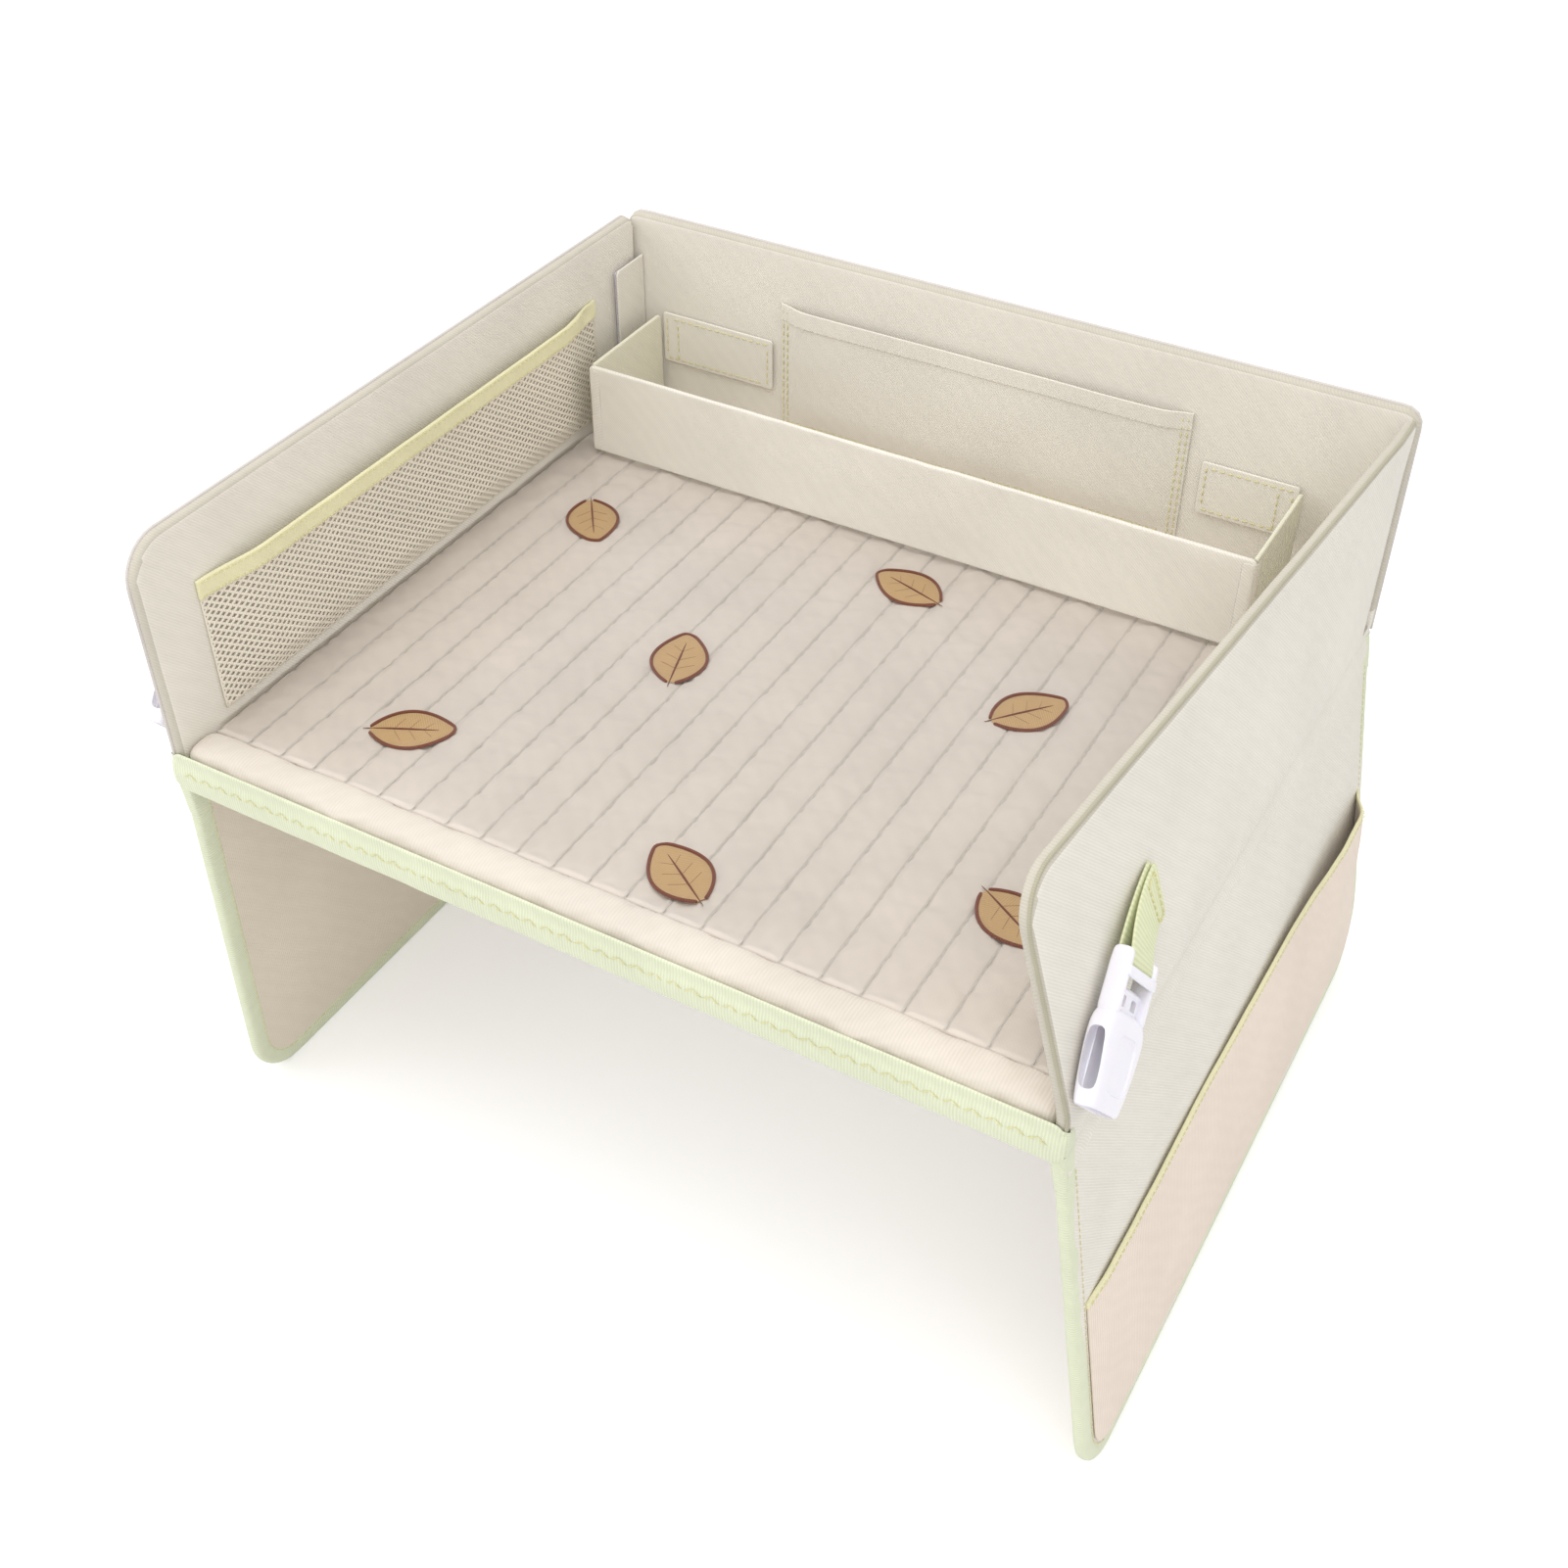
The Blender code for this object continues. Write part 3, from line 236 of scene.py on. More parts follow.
def cloth_height(tree, style, spacing):
    """Return the height of a weave, 0 to 1, whose lines lie at a real spacing in metres."""
    place = add(tree, "UVMap", uv_map="Cloth")
    count = add(tree, "VectorMath", {0: place.outputs["UV"], "Scale": 1 / spacing}, operation="SCALE")
    fibre = add(tree, "TexNoise", {"Vector": count.outputs[0], "Scale": 1.7, "Detail": 3.0, "Roughness": 0.7})
    if style == "plain":
        warp = add(tree, "TexWave", {"Vector": count.outputs[0], "Scale": 0.314, "Distortion": 0.5,
                                     "Detail": 1.0}, bands_direction="X")
        weft = add(tree, "TexWave", {"Vector": count.outputs[0], "Scale": 0.314, "Distortion": 0.5,
                                     "Detail": 1.0}, bands_direction="Y")
        over = add(tree, "TexChecker", {"Vector": count.outputs[0], "Scale": 1.0})
        line = add(tree, "Mix", {"Factor": over.outputs["Fac"], 2: warp.outputs["Fac"],
                                 3: weft.outputs["Fac"]})
    else:
        line = add(tree, "TexWave",
                   {"Vector": count.outputs[0], "Scale": 0.444 if style == "twill" else 0.314,
                                     "Distortion": 0.6, "Detail": 1.0},
                   bands_direction="DIAGONAL" if style == "twill" else "X")
    return add(tree, "Mix", {"Factor": 0.35, 2: line.outputs[0], 3: fibre.outputs["Fac"]}).outputs[0], place


def woven(name, colour, style, spacing, relief, contrast=0.10, sheen=0.2, rough=0.82, blotch=0.05, seams=0.0):
    """Woven cloth: lit threads over darker gaps, a faint patchiness, and the relief of its weave."""
    material, tree = new_material(name)
    height, place = cloth_height(tree, style, spacing)
    spot = add(tree, "TexCoord")
    patch = add(tree, "TexNoise", {"Vector": spot.outputs["Object"], "Scale": 22.0, "Detail": 4.0})
    water = add(tree, "TexWave", {"Vector": place.outputs["UV"], "Scale": 60.0, "Distortion": 6.0,
                                  "Detail": 1.5, "Detail Scale": 0.6}, bands_direction="DIAGONAL")
    thread = add(tree, "Mix", {"Factor": height, 6: shade(colour, 1 - contrast),
                               7: shade(colour, 1 + contrast / 3)}, data_type="RGBA")
    tone = add(tree, "Mix", {"Factor": 0.10, 2: patch.outputs["Fac"], 3: water.outputs["Fac"]})
    level = add(tree, "MapRange", {"Value": tone.outputs[0], "From Min": 0.3, "From Max": 0.7,
                                   "To Min": 1 - blotch, "To Max": 1 + blotch / 2})
    value = level.outputs["Result"]
    if seams:
        # Painted shade: the cloth is darkened along each seam, where the needle's crease stays in shadow
        crease = add(tree, "TexWave", {"Vector": place.outputs["UV"], "Scale": math.pi / 10 / seams},
                     bands_direction="X")
        dark = add(tree, "MapRange", {"Value": crease.outputs["Fac"], "From Min": 0.965, "From Max": 0.998,
                                      "To Min": 1.0, "To Max": 0.80})
        value = add(tree, "Math", {0: value, 1: dark.outputs["Result"]}, operation="MULTIPLY").outputs[0]
    tint = add(tree, "HueSaturation", {"Color": thread.outputs[2], "Value": value})
    gloss = add(tree, "MapRange", {"Value": height, "To Min": min(1.0, rough + 0.08), "To Max": rough - 0.06})
    relief_node = add(tree, "Bump", {"Height": height, "Distance": relief, "Strength": 1.0})
    shader = add(tree, "BsdfPrincipled", {"Base Color": tint.outputs["Color"],
                                          "Roughness": gloss.outputs["Result"],
                                          "Normal": relief_node.outputs["Normal"],
                                          "Sheen Weight": sheen, "Sheen Roughness": 0.5,
                                          "Specular IOR Level": 0.25})
    add(tree, "OutputMaterial", {"Surface": shader.outputs["BSDF"]})
    return material


def looped_tape(name, colour):
    """Hook and loop tape: a field of tiny loops, matt and slightly shadowed between them."""
    material, tree = new_material(name)
    spot = add(tree, "TexCoord")
    loops = add(tree, "TexVoronoi", {"Vector": spot.outputs["Object"], "Scale": 1 / 0.0011})
    level = add(tree, "MapRange", {"Value": loops.outputs["Distance"], "From Max": 0.8, "To Min": 1.03,
                                   "To Max": 0.80})
    tint = add(tree, "HueSaturation", {"Color": (*colour, 1), "Value": level.outputs["Result"]})
    relief = add(tree, "Bump", {"Height": level.outputs["Result"], "Distance": 0.0008})
    shader = add(tree, "BsdfPrincipled", {"Base Color": tint.outputs["Color"], "Roughness": 0.92,
                                          "Normal": relief.outputs["Normal"], "Sheen Weight": 0.3})
    add(tree, "OutputMaterial", {"Surface": shader.outputs["BSDF"]})
    return material


def clear_vinyl(name):
    """Clear soft vinyl: see-through, with gloss that grows at a glance and on its soft waves."""
    material, tree = new_material(name)
    spot = add(tree, "TexCoord")
    wave = add(tree, "TexNoise", {"Vector": spot.outputs["Object"], "Scale": 55.0, "Detail": 2.0})
    relief = add(tree, "Bump", {"Height": wave.outputs["Fac"], "Distance": 0.0012, "Strength": 0.6})
    shine = add(tree, "BsdfGlossy", {"Roughness": 0.13, "Normal": relief.outputs["Normal"]})
    clear = add(tree, "BsdfTransparent", {"Color": (0.995, 0.992, 0.988, 1)})
    edge = add(tree, "Fresnel", {"IOR": 1.36, "Normal": relief.outputs["Normal"]})
    mix = add(tree, "MixShader", {0: edge.outputs["Fac"], 1: clear.outputs[0], 2: shine.outputs[0]})
    add(tree, "OutputMaterial", {"Surface": mix.outputs[0]})
    return material


def moulded_plastic(name, colour):
    """Moulded acetal: smooth, waxy, with the faint grain of its tool."""
    material, tree = new_material(name)
    spot = add(tree, "TexCoord")
    grain = add(tree, "TexNoise", {"Vector": spot.outputs["Object"], "Scale": 1400.0, "Detail": 2.0})
    cloud = add(tree, "TexNoise", {"Vector": spot.outputs["Object"], "Scale": 60.0, "Detail": 2.0})
    tint = add(tree, "Mix", {"Factor": cloud.outputs["Fac"], 6: shade(colour, 0.97), 7: shade(colour, 1.02)},
               data_type="RGBA")
    gloss = add(tree, "MapRange", {"Value": grain.outputs["Fac"], "To Min": 0.26, "To Max": 0.38})
    relief = add(tree, "Bump", {"Height": grain.outputs["Fac"], "Distance": 0.00004})
    shader = add(tree, "BsdfPrincipled", {"Base Color": tint.outputs[2], "Roughness": gloss.outputs["Result"],
                                          "Normal": relief.outputs["Normal"], "IOR": 1.48,
                                          "Subsurface Weight": 0.1, "Subsurface Scale": 0.002})
    add(tree, "OutputMaterial", {"Surface": shader.outputs["BSDF"]})
    return material


def grey_board(name, colour):
    """Pressed grey board: flecked pulp, matt."""
    material, tree = new_material(name)
    spot = add(tree, "TexCoord")
    fleck = add(tree, "TexNoise", {"Vector": spot.outputs["Object"], "Scale": 700.0, "Detail": 5.0})
    tint = add(tree, "Mix", {"Factor": fleck.outputs["Fac"], 6: shade(colour, 0.85), 7: shade(colour, 1.1)},
               data_type="RGBA")
    relief = add(tree, "Bump", {"Height": fleck.outputs["Fac"], "Distance": 0.0001})
    shader = add(tree, "BsdfPrincipled", {"Base Color": tint.outputs[2], "Roughness": 0.9,
                                          "Normal": relief.outputs["Normal"]})
    add(tree, "OutputMaterial", {"Surface": shader.outputs["BSDF"]})
    return material


def make_finishes():
    """Make every cloth, tape, film and plastic of the table once."""
    colours, sizes = bpy.context.scene.tray_colours, bpy.context.scene.tray_sizes
    get = {key: tuple(getattr(colours, key)) for key in
           ("cover", "lining", "quilt", "pocket", "green", "yellow", "net", "thread", "buckle", "leaf",
            "outline")}
    fine, rib = sizes.thread, sizes.rib
    # Oxford cloth has about 2 threads per mm; its twill is drawn at twice that spacing so that it shows
    woven("twill_polyester_cover", get["cover"], "twill", fine, 0.00012)
    # Painted shade: where the cloth turns over a wall's top rim it is darker, so that the up-facing rim, lit
    # from above, is no brighter than the wall's faces
    woven("rim_painted_shade_twill", linear("CDC7B9"), "twill", fine, 0.00012, sheen=0.1)
    woven("plain_woven_lining", get["lining"], "plain", fine, 0.00010)
    channels = round(2 * PAD_HALF_WIDTH / sizes.channel)
    # The quilt's cloth carries painted shade along its seams
    woven("brushed_quilt_cloth", get["quilt"], "plain", 0.0008, 0.00006, contrast=0.05, sheen=0.35,
          seams=2 * PAD_HALF_WIDTH / channels)
    woven("ribbed_pocket_cloth", get["pocket"], "ribs", 0.0016, 0.00014, contrast=0.10)
    woven("ribbed_roll_cloth", linear("DFD6CA"), "ribs", 0.0014, 0.00012, contrast=0.07)
    woven("grosgrain_green_binding", get["green"], "ribs", rib, 0.00020, contrast=0.14)
    woven("flat_yellow_binding", get["yellow"], "plain", 0.0009, 0.00008, contrast=0.08)
    woven("ribbed_webbing", linear("E4E8BE"), "ribs", 0.0018, 0.00025, contrast=0.16)
    woven("knitted_net_yarn", get["net"], "ribs", 0.0009, 0.00008, contrast=0.12)
    woven("polyester_sewing_thread", get["thread"], "ribs", 0.0006, 0.00005, contrast=0.18, sheen=0.3)
    # The cream thread is drawn a tenth darker than the cover, as painted shade along the quilt's seams
    woven("cream_thread_with_painted_shade", shade(get["cover"], 0.9)[:3], "ribs", 0.0006, 0.00005, contrast=0.18)
    woven("olive_seam_piping", linear("B7B29B"), "ribs", 0.0009, 0.00008, contrast=0.15)
    woven("pale_seam_piping", linear("DAD4CF"), "ribs", 0.0009, 0.00008, contrast=0.12)
    # Painted shade: the box's ends are the cream cover tinted straw for the olive shade that falls in the
    # narrow spaces at the box's ends
    woven("shade_tinted_box_end_cloth", linear("E6E3CE"), "twill", fine, 0.00012)
    woven("satin_stitch_tan", get["leaf"], "ribs", 0.0010, 0.00016, contrast=0.22, sheen=0.35, rough=0.6)
    woven("satin_stitch_brown", get["outline"], "ribs", 0.0010, 0.00016, contrast=0.3, sheen=0.35, rough=0.6)
    looped_tape("hook_and_loop_tape", linear("E9E6EF"))
    clear_vinyl("clear_soft_vinyl")
    moulded_plastic("moulded_acetal", get["buckle"])
    grey_board("pressed_grey_board", linear("B8B4AA"))


def finish(name):
    return bpy.data.materials[name]


# Mesh building

class Form:
    """Points and faces of one piece, gathered in tray coordinates, with cloth coordinates in metres."""

    def __init__(self):
        self.points, self.faces, self.spots, self.finishes = [], [], [], []

    def grid(self, rows, spots, closed=False, flip=False, finish_index=0):
        """Join rows of points into quads. A closed row needs one more spot than it has points."""
        start, width = len(self.points), len(rows[0])
        for row in rows:
            self.points += row
        for i in range(len(rows) - 1):
            for j in range(width if closed else width - 1):
                k = (j + 1) % width
                quad = [start + i * width + j, start + i * width + k,
                        start + (i + 1) * width + k, start + (i + 1) * width + j]
                place = [spots[i][j], spots[i][j + 1], spots[i + 1][j + 1], spots[i + 1][j]]
                if flip:
                    quad.reverse()
                    place.reverse()
                self.faces.append(quad)
                self.spots.append(place)
                self.finishes.append(finish_index)

    def polygon(self, ring):
        """Close a flat ring of points with one face."""
        start = len(self.points)
        self.points += ring
        self.faces.append(list(range(start, start + len(ring))))
        self.spots.append([(p.x, p.y) for p in ring])
        self.finishes.append(0)

    def cord(self, line, radius, sides=6, taper=False, finish_index=0):
        """Add a round cord along a line of points, drawn in at its ends where it tapers."""
        line = [Vector(p) for p in line]
        normal = None
        rows, spots, travelled = [], [], 0.0
        for i, point in enumerate(line):
            ahead = (line[min(i + 1, len(line) - 1)] - line[max(i - 1, 0)]).normalized()
            if normal is None:
                normal = ahead.orthogonal().normalized()
            normal = (normal - ahead * normal.dot(ahead)).normalized()
            across = ahead.cross(normal)
            size = radius * (0.35 if taper and i in (0, len(line) - 1) else 1.0)
            if i:
                travelled += (point - line[i - 1]).length
            turns = [2 * math.pi * step / sides for step in range(sides)]
            rows.append([point + (normal * math.cos(a) + across * math.sin(a)) * size for a in turns])
            spots.append([(travelled, size * 2 * math.pi * step / sides) for step in range(sides + 1)])
        self.grid(rows, spots, closed=True, finish_index=finish_index)
        for row, point, place in ((rows[0], line[0], spots[0]), (rows[-1], line[-1], spots[-1])):
            self.grid([row, [point] * sides], [place, place], closed=True, finish_index=finish_index)

    def sweep(self, rings, spots, capped=True, finish_index=0):
        """Add a tube through closed rings, and close its two ends."""
        self.grid(rings, spots, closed=True, finish_index=finish_index)
        if capped:
            for ring, place in ((rings[0], spots[0]), (rings[-1], spots[-1])):
                middle = sum(ring, Vector()) / len(ring)
                self.grid([ring, [middle] * len(ring)], [place, place], closed=True,
                          finish_index=finish_index)

    def piece(self, name, body, finishes, nodes=(), slot=None, levels=1, matrix=None):
        """Make the object, ride it on its body if it has one and let it stand for its CAD nodes."""
        mesh = bmesh.new()
        layer = mesh.loops.layers.uv.new("Cloth")
        corners = [mesh.verts.new(p) for p in self.points]
        for quad, place, index in zip(self.faces, self.spots, self.finishes):
            kept, marks = [], []
            for i, mark in zip(quad, place):
                if not kept or (self.points[i] - self.points[kept[-1]]).length > 1e-7:
                    kept.append(i)
                    marks.append(mark)
            if len(kept) > 2 and (self.points[kept[0]] - self.points[kept[-1]]).length <= 1e-7:
                kept.pop()
                marks.pop()
            if len(kept) < 3:
                continue
            face = mesh.faces.new([corners[i] for i in kept])
            face.material_index = index
            face.smooth = True
            for loop, mark in zip(face.loops, marks):
                loop[layer].uv = mark
        bmesh.ops.remove_doubles(mesh, verts=mesh.verts, dist=1e-6)
        bmesh.ops.delete(mesh, geom=[v for v in mesh.verts if not v.link_faces], context="VERTS")
        bmesh.ops.recalc_face_normals(mesh, faces=mesh.faces)
        bmesh.ops.transform(mesh, matrix=Matrix.Translation(ORIGIN) @ (matrix or Matrix()), verts=mesh.verts)
        data = bpy.data.meshes.new(name)
        mesh.to_mesh(data)
        mesh.free()
        for key in finishes:
            data.materials.append(finish(key))
        piece = bpy.data.objects.new(name, data)
        bpy.context.scene.collection.objects.link(piece)
        if levels:
            rounding = piece.modifiers.new("rounding", "SUBSURF")
            rounding.levels = rounding.render_levels = levels
        if body:
            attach(piece, body)
        if nodes:
            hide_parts(*nodes)
        return piece


class Outline:
    """A flat outline with round corners, from start to end along it and from low to high up it."""

    def __init__(self, start, end, low, high, front_low=0.0, front_high=0.0, rear_low=0.0, rear_high=0.0):
        self.start, self.end, self.low, self.high = start, end, low, high
        self.radii = {"front low": front_low, "front high": front_high,
                      "rear low": rear_low, "rear high": rear_high}

    def span(self, along):
        """Return the lowest and highest point at a station."""
        low, high = self.low, self.high
        for side, into in (("front", along - self.start), ("rear", self.end - along)):
            drop = self.radii[side + " low"]
            if into < drop:
                low = self.low + drop - math.sqrt(max(0.0, drop ** 2 - (drop - into) ** 2))
            drop = self.radii[side + " high"]
            if into < drop:
                high = self.high - drop + math.sqrt(max(0.0, drop ** 2 - (drop - into) ** 2))
        return low, high

    def inset(self, along, up):
        """Return how far a point lies inside the rim."""
        middle_along, middle_up = (self.start + self.end) / 2, (self.low + self.high) / 2
        corner = ("front" if along < middle_along else "rear") + (" low" if up < middle_up else " high")
        radius = self.radii[corner]
        over_along = abs(along - middle_along) - (self.end - self.start) / 2 + radius
        over_up = abs(up - middle_up) - (self.high - self.low) / 2 + radius
        outside = math.hypot(max(over_along, 0.0), max(over_up, 0.0))
        return radius - outside - min(max(over_along, over_up), 0.0)

    def stations(self, step, edge):
        """Return places along the outline, close together at its rim and its corners."""
        near = [share * edge for share in RIM_SHARES]
        lists = []
        for side in ("front", "rear"):
            reach = max(self.radii[side + " low"], self.radii[side + " high"])
            extra = [edge + (reach - edge) * i / 8 for i in range(1, 9)] if reach > edge else []
            lists.append(near + extra)
        first, last = self.start + lists[0][-1], self.end - lists[1][-1]
        count = max(1, round((last - first) / step))
        middle = [first + (last - first) * i / count for i in range(1, count)]
        return [self.start + v for v in lists[0]] + middle + [self.end - v for v in reversed(lists[1])]

    def rows(self, step, edge):
        """Return rows as pairs of a share of the height and an offset from it."""
        count = max(2, round((self.high - self.low) / step))
        rows = [(0.0, share * edge) for share in RIM_SHARES]
        rows += [(i / count, 0.0) for i in range(1, count)]
        return rows + [(1.0, -share * edge) for share in reversed(RIM_SHARES)]

    def path(self, names, inset=0.0):
        """Return points from corner to corner, round at each corner but the first and last."""
        corners = {"front low": (self.start + inset, self.low + inset),
                   "front high": (self.start + inset, self.high - inset),
                   "rear low": (self.end - inset, self.low + inset),
                   "rear high": (self.end - inset, self.high - inset)}
        spots = [Vector(corners[name]) for name in names]
        out = [spots[0]]
        for before, here, after, name in zip(spots, spots[1:], spots[2:], names[1:]):
            radius = max(0.0, self.radii[name] - inset)
            back, ahead = (before - here).normalized(), (after - here).normalized()
            centre = here + (back + ahead) * radius
            for i in range(9):
                turn = math.pi / 2 * i / 8
                out.append(centre - (ahead * math.cos(turn) + back * math.sin(turn)) * radius)
        return out + [spots[-1]]


RIM_SHARES = (0.0, 0.12, 0.34, 0.64, 1.0)


def spread(line, step):
    """Return points at equal steps along a line."""
    line = [Vector(p) for p in line]
    total = sum((b - a).length for a, b in zip(line, line[1:]))
    count = max(1, round(total / step))
    out, at, done = [line[0]], 0, 0.0
    for i in range(1, count + 1):
        target = total * i / count
        while at < len(line) - 2 and done + (line[at + 1] - line[at]).length < target:
            done += (line[at + 1] - line[at]).length
            at += 1
        span = (line[at + 1] - line[at]).length
        out.append(line[at].lerp(line[at + 1], min(1.0, (target - done) / span) if span else 0.0))
    return out


def clamp(value):
    return min(1.0, max(0.0, value))


def squared(angle, power):
    """Return a point of a rounded square with half sides of 1."""
    c, s = math.cos(angle), math.sin(angle)
    return math.copysign(abs(c) ** power, c), math.copysign(abs(s) ** power, s)


def ripple(along, up, size, seed=0.0):
    """Return smooth wrinkles from -1 to 1 of about a given size in metres."""
    return noise.noise(Vector((along / size, up / size, seed)))


def soft_panel(form, outline, place, depths, step=0.006, edge=0.0024, rim_share=0.5, shape=None, round_up=2.2,
               finish_indices=(0, 1), rim_shade_finish=None):
    """Add a closed panel between two depths with a rounded rim. shape moves a point of either face.

    The rim's finish, a darker cloth that paints shade on the rim, is the finish of the cloth that turns over
    the edge, above the panel's foot.
    """
    near, far = depths
    rim = near + rim_share * (far - near)
    for face, flip, index in ((near, False, finish_indices[0]), (far, True, finish_indices[1])):
        rows, spots = [], []
        for along in outline.stations(step, edge):
            low, high = outline.span(along)
            line, marks = [], []
            for share, offset in outline.rows(step, edge):
                up = min(max(low + share * (high - low) + offset, low), high)
                into = clamp(outline.inset(along, up) / edge)
                full = (1 - (1 - into) ** round_up) ** (1 / round_up)
                depth = rim + (face - rim) * full
                if shape:
                    depth += shape(along, up, face == near) * full
                line.append(place(along, up, depth))
                marks.append((along, up))
            rows.append(line)
            spots.append(marks)
        first = len(form.faces)
        form.grid(rows, spots, flip=flip, finish_index=index)
        # Painted shade: faces on the rim above the foot take the darker rim finish
        if rim_shade_finish is not None:
            for i in range(first, len(form.faces)):
                on_edge = max(outline.inset(*mark) for mark in form.spots[i]) < edge * 0.75
                if on_edge and min(mark[1] for mark in form.spots[i]) > RIM_SHADE_FROM:
                    form.finishes[i] = rim_shade_finish


def stitch_run(form, line, place, depth, length, gap=0.0010, radius=0.00028, lift=0.00042, finish_index=0):
    """Add a row of thread stitches on a face. The line is in the face's own coordinates."""
    points = spread(line, (length + gap) / 4)
    for i in range(0, len(points) - 4, 4):
        share = length / (length + gap)
        start, end = points[i], points[i].lerp(points[i + 4], share)
        stitch = []
        for part, rise in ((0.0, -0.4), (0.2, 0.8), (0.5, 1.0), (0.8, 0.8), (1.0, -0.4)):
            spot = start.lerp(end, part)
            stitch.append(place(spot.x, spot.y, depth - lift * rise))
        form.cord(stitch, radius, sides=6, taper=True, finish_index=finish_index)


def rim_cord(form, outline, names, place, depth, inset, radius, step=0.004, finish_index=0):
    """Add a cord that follows an outline's rim."""
    line = [place(p.x, p.y, depth) for p in spread(outline.path(names, inset), step)]
    form.cord(line, radius, sides=8, finish_index=finish_index)


def edge_binding(form, outline, names, place, depths, width, step=0.004, finish_index=0, wobble=0.0002):
    """Wrap a folded tape round an outline's rim, over both faces."""
    near, far = depths
    middle, half = (near + far) / 2, (far - near) / 2
    section = ((1.0, -0.86), (0.93, -1.0), (0.55, -1.06), (0.14, -1.03), (0.02, -0.80), (-0.05, -0.35),
               (-0.05, 0.35), (0.02, 0.80), (0.14, 1.03), (0.55, 1.06), (0.93, 1.0), (1.0, 0.86))
    outer = spread(outline.path(names), step)
    count = len(outer) - 1
    rings, spots = [], []
    for i, spot in enumerate(outer):
        ahead = (outer[min(i + 1, count)] - outer[max(i - 1, 0)]).normalized()
        inward = Vector((ahead.y, -ahead.x))
        centre = Vector(((outline.start + outline.end) / 2, (outline.low + outline.high) / 2))
        if inward.dot(centre - spot) < 0:
            inward = -inward
        ring = []
        shake = wobble * ripple(i * step, 0.0, 0.011, 3.0)
        for across, level in section:
            at = spot + inward * (across * (width + shake))
            ring.append(place(at.x, at.y, middle + half * level + shake * 0.5))
        rings.append(ring)
        spots.append([(i * step, 0.019 * j / len(section)) for j in range(len(section))])
    form.grid(rings, spots, finish_index=finish_index)


def settle_cloth(points, width, pinned, pressure, grow, limit):
    """Let an open grid of cloth swell between its pinned points, then hold each within a limit."""
    scene = bpy.context.scene
    mesh = bpy.data.meshes.new("settling")
    count = len(points) // width
    faces = [(i * width + j, i * width + j + 1, (i + 1) * width + j + 1, (i + 1) * width + j)
             for i in range(count - 1) for j in range(width - 1)]
    mesh.from_pydata(points, [], faces)
    cloth = bpy.data.objects.new("settling", mesh)
    scene.collection.objects.link(cloth)
    group = cloth.vertex_groups.new(name="pinned")
    for index, weight in pinned.items():
        group.add([index], weight, "REPLACE")
    step = cloth.modifiers.new("settle", "CLOTH")
    step.settings.quality = 6
    step.settings.mass = 0.3
    step.settings.use_pressure = True
    step.settings.uniform_pressure_force = pressure
    step.settings.effector_weights.gravity = 0
    step.settings.tension_stiffness = step.settings.compression_stiffness = 12
    step.settings.bending_stiffness = 0.3
    step.settings.shrink_min = -grow
    step.settings.vertex_group_mass = "pinned"
    step.point_cache.frame_start, step.point_cache.frame_end = 1, scene.tray_sizes.sim_frames
    for number in range(1, scene.tray_sizes.sim_frames + 1):
        scene.frame_set(number)
    settled = cloth.evaluated_get(bpy.context.evaluated_depsgraph_get())
    out = []
    for before, vertex in zip(points, settled.data.vertices):
        move = vertex.co - before
        if move.length > limit:
            move *= limit / move.length
        out.append(before + move)
    scene.frame_set(1)
    bpy.data.objects.remove(cloth, do_unlink=True)
    return out


# Surfaces of the folding panels

def side_wall_surface(side):
    """A side wall leans above the rim at its front, and its rear edge curves away from the ear."""
    def surface(along, up, depth):
        blend = max(0.0, (along - LEAN_START_Y) / (SIDE_WALL_REAR_Y - LEAN_START_Y))
        ease = clamp((WALL_HEIGHT - up) / REAR_SLOT_TOP)
        slot = REAR_SLOT[side] * blend * ease ** 0.5
        to_front = max(0.0, (LEAN_START_Y - along) / (LEAN_START_Y - FRONT_Y))
        to_top = max(0.0, (up - WALL_BEND_UP) / (WALL_HEIGHT - WALL_BEND_UP))
        lean = WALL_FRONT_LEAN[side] * to_front * to_top
        return Vector((SIDES[side] * (HALF_WIDTH - depth - lean), along - slot, WALL_FOOT_Z + up))
    return surface


def back_wall_surface(along, up, depth):
    return Vector((along, REAR_Y - depth, WALL_FOOT_Z + up))


def flap_surface(side):
    """A flap hangs from its fold and is splayed outward about it. Its up values are negative."""
    axis = Vector((SIDES[side] * FLAP_AXIS_X, 0, FLAP_AXIS_Z))
    turn = Matrix.Rotation(-SIDES[side] * FLAP_SPLAY[side], 3, "Y")

    def surface(along, up, depth):
        return axis + turn @ Vector((SIDES[side] * (FLAP_THICKNESS / 2 - depth), along, up))
    return surface


def pocket_gap(start, end, taper, gape):
    """Return how far a pocket's cloth stands off, from its seams to its mouth."""
    def gap(along, share):
        from_side = clamp(min(along - start, end - along) / taper)
        from_side = from_side * from_side * (3 - 2 * from_side)
        from_foot = min(1.0, share / 0.18)
        return gape * from_side * from_foot * (0.70 + 0.30 * share)
    return gap


# Pieces

